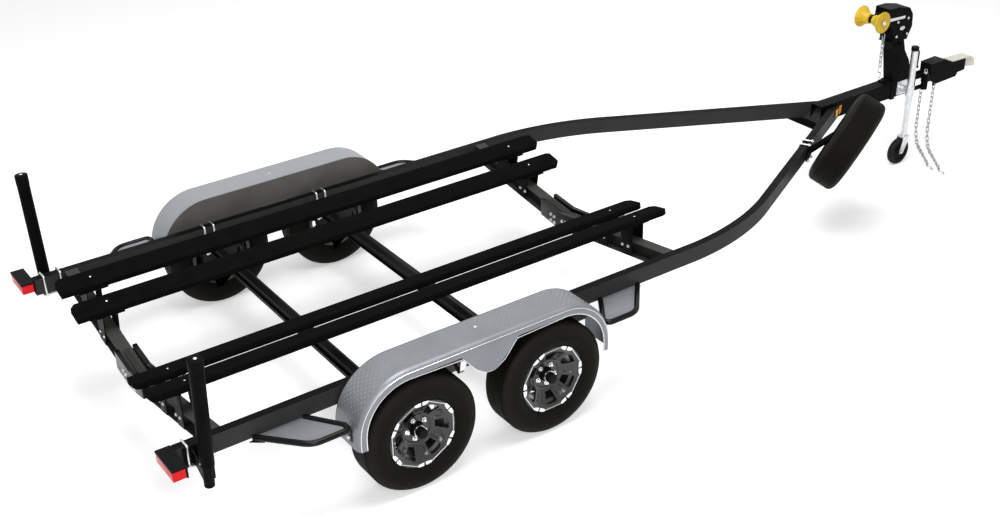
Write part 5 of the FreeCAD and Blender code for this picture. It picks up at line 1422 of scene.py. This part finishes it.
softened("rear_lamp_caps", "tail_lamp_housings", "frame", black_plastic, 2.5, "black_plastic", 3)
rows, screws = Rows(), []
for sign in (-1, 1):
    y0, y1 = sorted((sign * (LAMP_INNER + 2), sign * (LAMP_OUTER - 2)))
    rows.block(at(LAMP_REAR + 2, y0, LENS_BOTTOM), at(LAMP_FRONT - 10, y1, LENS_TOP), 0.004)
    for y in (LAMP_INNER + SCREW_INSET, LAMP_OUTER - SCREW_INSET):
        spot = at(LAMP_REAR + 2.6, sign * y, (LENS_BOTTOM + LENS_TOP) / 2)
        screws.append(facing(spot, Vector((-1, 0, 0))))
settle(rows.finished("rear_lamp_lenses", [red_lens]), "frame", "tail_lamp_lenses", slot="red_lens")
grow("rear_lamp_screws", ROUND, screws, zinc, "frame", slot="zinc", Across=0.0035, Height=0.0014)

# %% [markdown]
# ## Lamps on the slanted rails
#
# Near the tongue each slanted rail carries an amber marker lamp and a flat yellow reflector, each on a black
# back. They follow the rail's slant, so a point beside the rail is found from the same turn as the rail.

# %% Amber lamps and reflectors
MARKER_Z = 580
MARKER_BLOCKS = [
    (3912, 56, 62, 25.3, 5, 0.0015, 2), (3912, 50, 56, 30, 10, 0.004, 0),
    (3845, 60, 54, 25.3, 4, 0.0012, 2), (3845, 54, 48, 29, 5, 0.0015, 1)]


def rail_spot(x, out, z, sign):
    """A point beside the slanted rail: out is counted from the rail's middle."""
    along = (x - BEND_X) / math.cos(RAIL_TURN)
    px = BEND_X + math.cos(RAIL_TURN) * along + math.sin(RAIL_TURN) * out
    py = BEND_Y - math.sin(RAIL_TURN) * along + math.cos(RAIL_TURN) * out
    return at(px, sign * py, z)


def rail_block(rows, sign, x, length, height, out, depth, rim, finish):
    """A block on the outer side of a slanted rail, with its middle at the markers' height."""
    run = length / 2 * math.cos(RAIL_TURN)
    corners = [(x - run, out), (x + run, out), (x + run, out + depth), (x - run, out + depth)]
    outline = [rail_spot(px, po, MARKER_Z - height / 2, sign) for px, po in corners]
    rows.plate(outline, Vector((0, 0, height * MM)), rim, finish)


rows = Rows()
for sign in (-1, 1):
    for block in MARKER_BLOCKS:
        rail_block(rows, sign, *block)
settle(rows.finished("marker_lamps", [amber_lens, yellow_lens, black_plastic]), "frame", "side_lamps",
       slot="amber_lens")

# %% [markdown]
# ## Guide posts
#
# A guide post is a plastic sleeve over a steel tube, closed by a slightly wider cap. It is turned about its
# own leaning axis, from a profile with small roundings where the cap begins and ends.

# %% Turned sleeves and their top screws
POST_X, POST_FOOT, POST_TOP = -1495, (1124, 492), (1183, 1174)

rows, screws = Rows(), []
for sign in (-1, 1):
    foot, top = (at(POST_X, sign * y, z) for y, z in (POST_FOOT, POST_TOP))
    length = (top - foot).length / MM
    profile = [
        (80.3, 27), (80.3, 33.5), (82, 35), (length - 66, 35), (length - 65, 34), (length - 63.5, 34),
        (length - 62.5, 36), (length - 61, 36.6), (length - 8, 36.6), (length - 3, 35.6), (length - 0.6, 32),
        (length, 28), (length, 0)]
    rows.turn(profile, foot, top - foot, 48)
    screws.append(facing(foot + (top - foot) * 0.9995, top - foot))
    screws.append(facing(foot + (top - foot) * 0.13 + Vector((-0.0345, 0, 0)), Vector((-1, 0, 0)), 0.6))
settle(rows.finished("post_sleeves", [sleeve_finish], 35), "frame", "guide_posts", slot="sleeve")
grow("post_screws", ROUND, screws, zinc, "frame", slot="zinc", Across=0.009, Height=0.003)

# %% [markdown]
# ## Chains and hooks
#
# Chain is the classic growth: one link, stood along a path, with every second link turned a quarter. The
# link is a rounded rectangle of curve with a round wire swept along it. The path is the one of the packed
# chain: down from the coupler, around a bend and along the ground, with a slow twist on the way.

# %% One link
LINK_WIRE, LINK_INNER, LINK_GAP, LINK_SLOT = 6.5, 41, 5.5, 14.2
PITCH = LINK_INNER - LINK_GAP


def round_link(tree):
    given = tree.given
    loop = tree.node("GeometryNodeCurvePrimitiveQuadrilateral", None, {
        "Width": given["Inner"] + given["Wire"], "Height": given["Slot"] + given["Wire"]})
    bent = tree.node("GeometryNodeFilletCurve", {"mode": "POLY"}, {
        "Curve": loop, "Count": 5, "Radius": (given["Slot"] + given["Wire"]) * 0.499})
    section = tree.node("GeometryNodeCurvePrimitiveCircle", None, {
        "Resolution": 10, "Radius": given["Wire"] * 0.5})
    return tree.node("GeometryNodeCurveToMesh", None, {"Curve": bent, "Profile Curve": section})


LINK = Growth("chain_links", round_link, Inner=LINK_INNER * MM, Slot=LINK_SLOT * MM, Wire=LINK_WIRE * MM)

# %% [markdown]
# A chain hangs straight from its eye, bends over a quarter circle and lies on the floor. The place and the
# direction at any distance from the eye follow from these three stretches. The short bow chain only hangs.

# %% Paths of the chains
EYE_REST = 7.632
CHAIN_X, CHAIN_Y, CHAIN_EYE_Z, CHAIN_REST_Z = 4980, 54, 520, 18.3
CHAIN_BEND, CHAIN_LINKS = 150, 25
FLOOR_TURN = math.radians(52)
FLOOR_WAY = Vector((-math.cos(FLOOR_TURN), -math.sin(FLOOR_TURN), 0))
FLOOR_SQUARE = Vector((math.sin(FLOOR_TURN), -math.cos(FLOOR_TURN), 0))
HANG = CHAIN_EYE_Z - EYE_REST - CHAIN_REST_Z - CHAIN_BEND
BEND_RUN = CHAIN_BEND * math.pi / 2


def chain_point(side, run):
    """A point of a safety chain and its direction, at a distance from the eye in millimetres."""
    start = at(CHAIN_X, side * CHAIN_Y, CHAIN_EYE_Z - EYE_REST)
    down = Vector((0, 0, -1))
    if run < HANG:
        return start + down * run * MM, down
    corner = start + (down * HANG + FLOOR_WAY * CHAIN_BEND) * MM
    if run < HANG + BEND_RUN:
        angle = (run - HANG) / CHAIN_BEND
        way = down * math.cos(angle) + FLOOR_WAY * math.sin(angle)
        return corner + (down * math.sin(angle) - FLOOR_WAY * math.cos(angle)) * CHAIN_BEND * MM, way
    rest = corner + down * CHAIN_BEND * MM
    return rest + FLOOR_WAY * (run - HANG - BEND_RUN) * MM, FLOOR_WAY


def link_place(point, way, square, roll):
    axes = Matrix((way, square, way.cross(square))).transposed().to_4x4()
    return Matrix.Translation(point) @ axes @ Matrix.Rotation(math.radians(roll + 90), 4, "X"), 1.0


links = []
for side in (-1, 1):
    for i in range(CHAIN_LINKS):
        point, way = chain_point(side, PITCH * (i + 0.5))
        roll = -45 + 7 * max(0, 1 - i / 9) + 45 * max(0, (i - 15) / (CHAIN_LINKS - 16)) + 90 * i
        links.append(link_place(point, way, FLOOR_SQUARE, roll))
grow("round_safety_chains", LINK, links, chain_zinc, "coupler", 60, "zinc", ["safety_chains"])

BOW_CHAIN_X, BOW_EYE_Z, BOW_LINKS = 4386, 1036, 7
DOWN = Vector((0, 0, -1))
links = []
for i in range(BOW_LINKS):
    point = at(BOW_CHAIN_X, 0, BOW_EYE_Z - EYE_REST - PITCH * (i + 0.5))
    links.append(link_place(point, DOWN, Vector((0, 1, 0)), 90 * (i + 1)))
grow("round_bow_chain", LINK, links, chain_zinc, "frame", 60, "zinc", ["bow_chain"])

# %% [markdown]
# Each chain ends in an S hook of bent wire. It is one path of six corners, with every inner corner turned
# into an arc and a round section swept along it.

# %% S hooks
HOOK_WIRE, HOOK_TURN, HOOK_Z = 4.5, 9.3, 17.9


def s_hook(rows, link_end, way, square):
    turn = HOOK_TURN
    steps = [(-turn, 8), (-turn, -turn - 2), (34, -turn - 2), (48, 16), (84, 16), (80, -6)]
    path = [link_end + (way * ahead + square * aside) * MM for ahead, aside in steps]
    rows.tube(rounded_corner(path, 0.0065, 5), HOOK_WIRE * MM, 12)


rows = Rows()
for side in (-1, 1):
    point, way = chain_point(side, PITCH * (CHAIN_LINKS - 0.5) + LINK_INNER / 2 + LINK_WIRE / 2)
    point.z = HOOK_Z * MM
    s_hook(rows, point, FLOOR_WAY, FLOOR_SQUARE)
settle(rows.finished("safety_s_hooks", [chain_zinc], 60), "coupler", "safety_chain_hooks", slot="zinc")
rows = Rows()
low = BOW_EYE_Z - EYE_REST - PITCH * (BOW_LINKS - 0.5) - LINK_INNER / 2 - LINK_WIRE / 2
s_hook(rows, at(BOW_CHAIN_X, 0, low), DOWN, Vector((1, 0, 0)))
settle(rows.finished("bow_s_hook", [zinc], 60), "frame", "bow_chain_hook", slot="zinc")

# %% [markdown]
# ## Bow roller and winch
#
# The bow of the boat comes to rest in a yellow roller made of two cones, moulded with flats that grip. A
# turned piece with few segments has just such flats. Beside it the winch cover carries bolts, a bare oval
# plate and the ends of the roller's axle.

# %% Roller, axle ends, cover details
ROLLER = at(4240, 0, 1170)
CONE = [(15, 12), (15, 34), (16.5, 36), (24, 37), (42, 42), (66, 56), (84, 71.5), (93, 78.4), (97, 78.6),
        (99.4, 76.5), (100, 72), (100, 34), (96, 30), (96, 12)]
FLATS = 14

rows = Rows()
for sign in (-1, 1):
    rows.turn([(sign * y, r) for y, r in CONE], ROLLER, Vector((0, 1, 0)), FLATS)
    rows.turn([(sign * 15, 10.06), (sign * 15, 12), (sign * 96, 12), (sign * 96, 10.06)], ROLLER,
              Vector((0, 1, 0)), 24)
settle(rows.finished("roller_cones", [yellow], 16), "bow_roller", "bow_roller", slot="yellow_rubber")

COVER_BOLTS = [(4452, 1120), (4560, 1130), (4566, 1010), (4452, 1010)]
STRAP_BOLTS = [(4356, 1152), (4504, 1152)]
OVAL_X, OVAL_Z, OVAL_LONG, OVAL_HIGH, OVAL_STEPS = 4508, 1064, 27, 15, 28

heads, ovals = [], Rows()
for sign in (-1, 1):
    side = Vector((0, sign, 0))
    heads.append(facing(ROLLER + side * 0.1083, side, 1.5, 0.2))
    for x, z in COVER_BOLTS:
        heads.append(facing(at(x, sign * 62, z), side, 0.9, x))
    for x, z in STRAP_BOLTS:
        heads.append(facing(at(x, sign * 67, z), side, 0.7, x))
    outline = []
    for k in range(OVAL_STEPS):
        turn = 2 * math.pi * k / OVAL_STEPS
        x, z = OVAL_X + OVAL_LONG * math.cos(turn), OVAL_Z + OVAL_HIGH * math.sin(turn)
        outline.append(at(x, sign * 61.6, z))
    ovals.plate(outline, side * 0.0016, 0.0005)
grow("winch_bolt_heads", HEX, heads, zinc, "frame", slot="zinc", Across=0.0085, Height=0.007)
settle(ovals.finished("winch_oval_plates", [cream]), "frame", slot="cream_paint")

# %% [markdown]
# ## Jack
#
# The jack is zinc tube in zinc tube: the outer one swings on the tongue, the inner one slides, and below it
# a fork swivels with its wheel. The outer tube and cap are softened copies. The wheel is turned, with a
# solid rubber tread on a plastic hub.

# %% Jack tube, cap, caster wheel, bolts
softened("jack_outer_tube", "jack_tube", "jack", zinc, 1, "zinc")
softened("jack_top_cap", "jack_cap", "jack", black_plastic, 1.5, "black_plastic")
CASTER = at(4558, -126, 101.6)
CASTER_TREAD = [(-18, 74), (-21, 78), (-22, 86), (-21.5, 92), (-18, 98), (-12, 100.8), (0, 101.6)]
CASTER_HUB = [(-26, 8.05), (-26, 19), (-24, 21), (-12, 26), (-9, 30), (-9, 66), (-12, 70), (-18, 74)]

rows = Rows()
half = CASTER_HUB + CASTER_TREAD
profile = half + [(-y, r) for y, r in reversed(half[:-1])]
finishes = [1] * 7 + [0] * (len(profile) - 14) + [1] * 7
rows.turn(profile, CASTER, Vector((0, 1, 0)), 64, closed=True, finishes=finishes)
settle(rows.finished("caster_turned_wheel", [caster_finish, black_plastic], 35), "caster_wheel", "jack_wheel",
       slot="caster_wheel")
heads = [facing(CASTER + Vector((0, sign * 0.036, 0)), Vector((0, sign, 0)), 1.0, 0.3) for sign in (-1, 1)]
grow("caster_axle_heads", HEX, heads, zinc, "caster", slot="zinc", Across=0.0105, Height=0.006)
heads = [facing(at(x, -58, z), Vector((0, -1, 0)), 0.8, x) for x in (4553, 4653) for z in (540, 626)]
grow("jack_plate_bolts", HEX, heads, zinc, "frame", slot="zinc", Across=0.0085, Height=0.007)

# %% [markdown]
# ## Hinge ring and spare carrier
#
# The latch pin of the folding tongue is pulled by a ring, and the spare's arm is clamped around the right
# rail with two U-bolts like those of the crossmembers. Both are swept rods.

# %% Pull ring, carrier U-bolts, wheel plate nuts
RING_X, RING_Y, RING_Z, RING_RADIUS = 4835, -74, 661, 13
CARRIER_X, CARRIER_SHIFTS = 3230, (-36, 36)
CLAMP_OUT, CLAMP_IN, CLAMP_TOP, CLAMP_LOW, CLAMP_PLATE = 46, -31.3, 624.3, 509.7, 33

rows = Rows()
turns = [math.pi * k / 12 for k in range(24)]
ring = [at(RING_X, RING_Y + RING_RADIUS * math.sin(t), RING_Z + RING_RADIUS * math.cos(t)) for t in turns]
rows.tube(ring, 2.2 * MM, 8, closed=True)
settle(rows.finished("latch_pull_ring", [zinc], 60), "frame", slot="zinc")

rows, nuts = Rows(), []
out_way = (rail_spot(CARRIER_X, 1, 567, -1) - rail_spot(CARRIER_X, 0, 567, -1)).normalized()
clamp = [(CLAMP_OUT, CLAMP_TOP), (CLAMP_IN, CLAMP_TOP), (CLAMP_IN, CLAMP_LOW), (CLAMP_OUT, CLAMP_LOW)]
for shift in CARRIER_SHIFTS:
    x = CARRIER_X + shift * math.cos(RAIL_TURN)
    path = [rail_spot(x, out, z, -1) for out, z in clamp]
    rows.tube(rounded_corner(path, 0.009), ROD * MM, 12)
    for z in (CLAMP_TOP, CLAMP_LOW):
        nuts.append(facing(rail_spot(x, CLAMP_PLATE, z, -1), out_way, 1.0, 0.3))
settle(rows.finished("carrier_u_bolts", [zinc], 60), "frame", slot="zinc")
spare_way = SPARE_PLACE.to_3x3() @ Vector((0, -1, 0))
for k in range(5):
    spot = SPARE_PLACE @ ring_point(LUG_RADIUS, LUG_START + 72 * k, 8 - PAD_RAISE)
    nuts.append(facing(spot, spare_way, 1.2, 0.4 * k))
grow("carrier_nuts", HEX, nuts, zinc, "frame", slot="zinc", Across=0.0105, Height=0.009)

# %% [markdown]
# ## Floor and light
#
# The floor is a plain pale sheet that keeps the soft shadow. Seen by the camera it gets a little light of
# its own, so that it reads as white paper, and the world behind it is white to the camera and in gloss. Both
# are told by the Light Path node which kind of ray is asking, so the trailer itself gets no more light.

# %% Floor
FLOOR_GLOW, FLOOR_HALF, FLOOR_DROP = 0.38, 40, 0.0006


def white_to_camera(tree):
    """1 on camera, glossy and transmission rays, 0 on the rays that light the object."""
    path = tree.node("ShaderNodeLightPath").socket.node.outputs
    return sum((Wire(tree, path[name]) for name in ("Is Glossy Ray", "Is Transmission Ray")),
               Wire(tree, path["Is Camera Ray"]))


def floor_finish():
    material = bpy.data.materials.new("floor")
    material.use_nodes = True
    tree = Tree(material.node_tree)
    material.node_tree.nodes.remove(material.node_tree.nodes["Principled BSDF"])
    matt = tree.node("ShaderNodeBsdfDiffuse", None, {"Color": rgb(0.84, 0.84, 0.845)})
    glow = tree.node("ShaderNodeEmission", None, {
        "Color": rgb(1, 1, 1), "Strength": white_to_camera(tree) * FLOOR_GLOW})
    both = tree.node("ShaderNodeAddShader", None, {0: matt, 1: glow})
    tree.feed(material.node_tree.nodes["Material Output"].inputs[0], both)
    return material


rows = Rows()
rows.skin([[Vector((x, y, 0)) for x in (-FLOOR_HALF, FLOOR_HALF)] for y in (-FLOOR_HALF, FLOOR_HALF)])
floor = rows.finished("floor", [floor_finish()])
floor.location.z = -FLOOR_DROP

# %% [markdown]
# A black trailer needs broad soft light, or its flat faces merge. One wide lamp hangs above it and a smaller
# one stands at the near side, and the world fills the shadows at less than half strength.

# %% World and lamps
AMBIENT = 0.45
world = bpy.data.worlds.new("studio")
world.use_nodes = True
bpy.context.scene.world = world
studio = Tree(world.node_tree)
background = world.node_tree.nodes["Background"]
studio.feed(background.inputs["Color"], rgb(1, 1, 1))
studio.feed(background.inputs["Strength"], AMBIENT + (1 - AMBIENT) * white_to_camera(studio))


def lamp(name, place, target, width, power):
    data = bpy.data.lights.new(name, "AREA")
    data.shape = "DISK"
    data.size = width
    data.energy = power
    made = bpy.data.objects.new(name, data)
    made.location = place
    made.rotation_mode = "QUATERNION"
    made.rotation_quaternion = (Vector(target) - Vector(place)).to_track_quat("-Z", "Y")
    bpy.context.scene.collection.objects.link(made)


lamp("overhead", (-1.5, -1.0, 7.5), (0, 0, 0), 5.5, 520)
lamp("side", (-4.5, -7.0, 4.0), (0, 0, 0.4), 3.5, 260)

# %% [markdown]
# ## Undressed nodes
#
# The dressed trailer has to stay inside the box of the imported solids. A imported node that still shows
# without a finish of this file would be named here.

# %% Undressed nodes
for name, node in nodes.items():
    shown = [slot.material for slot in node.material_slots]
    if not node.hide_render and not any(material in DRESS for material in shown):
        print("still undressed:", name)
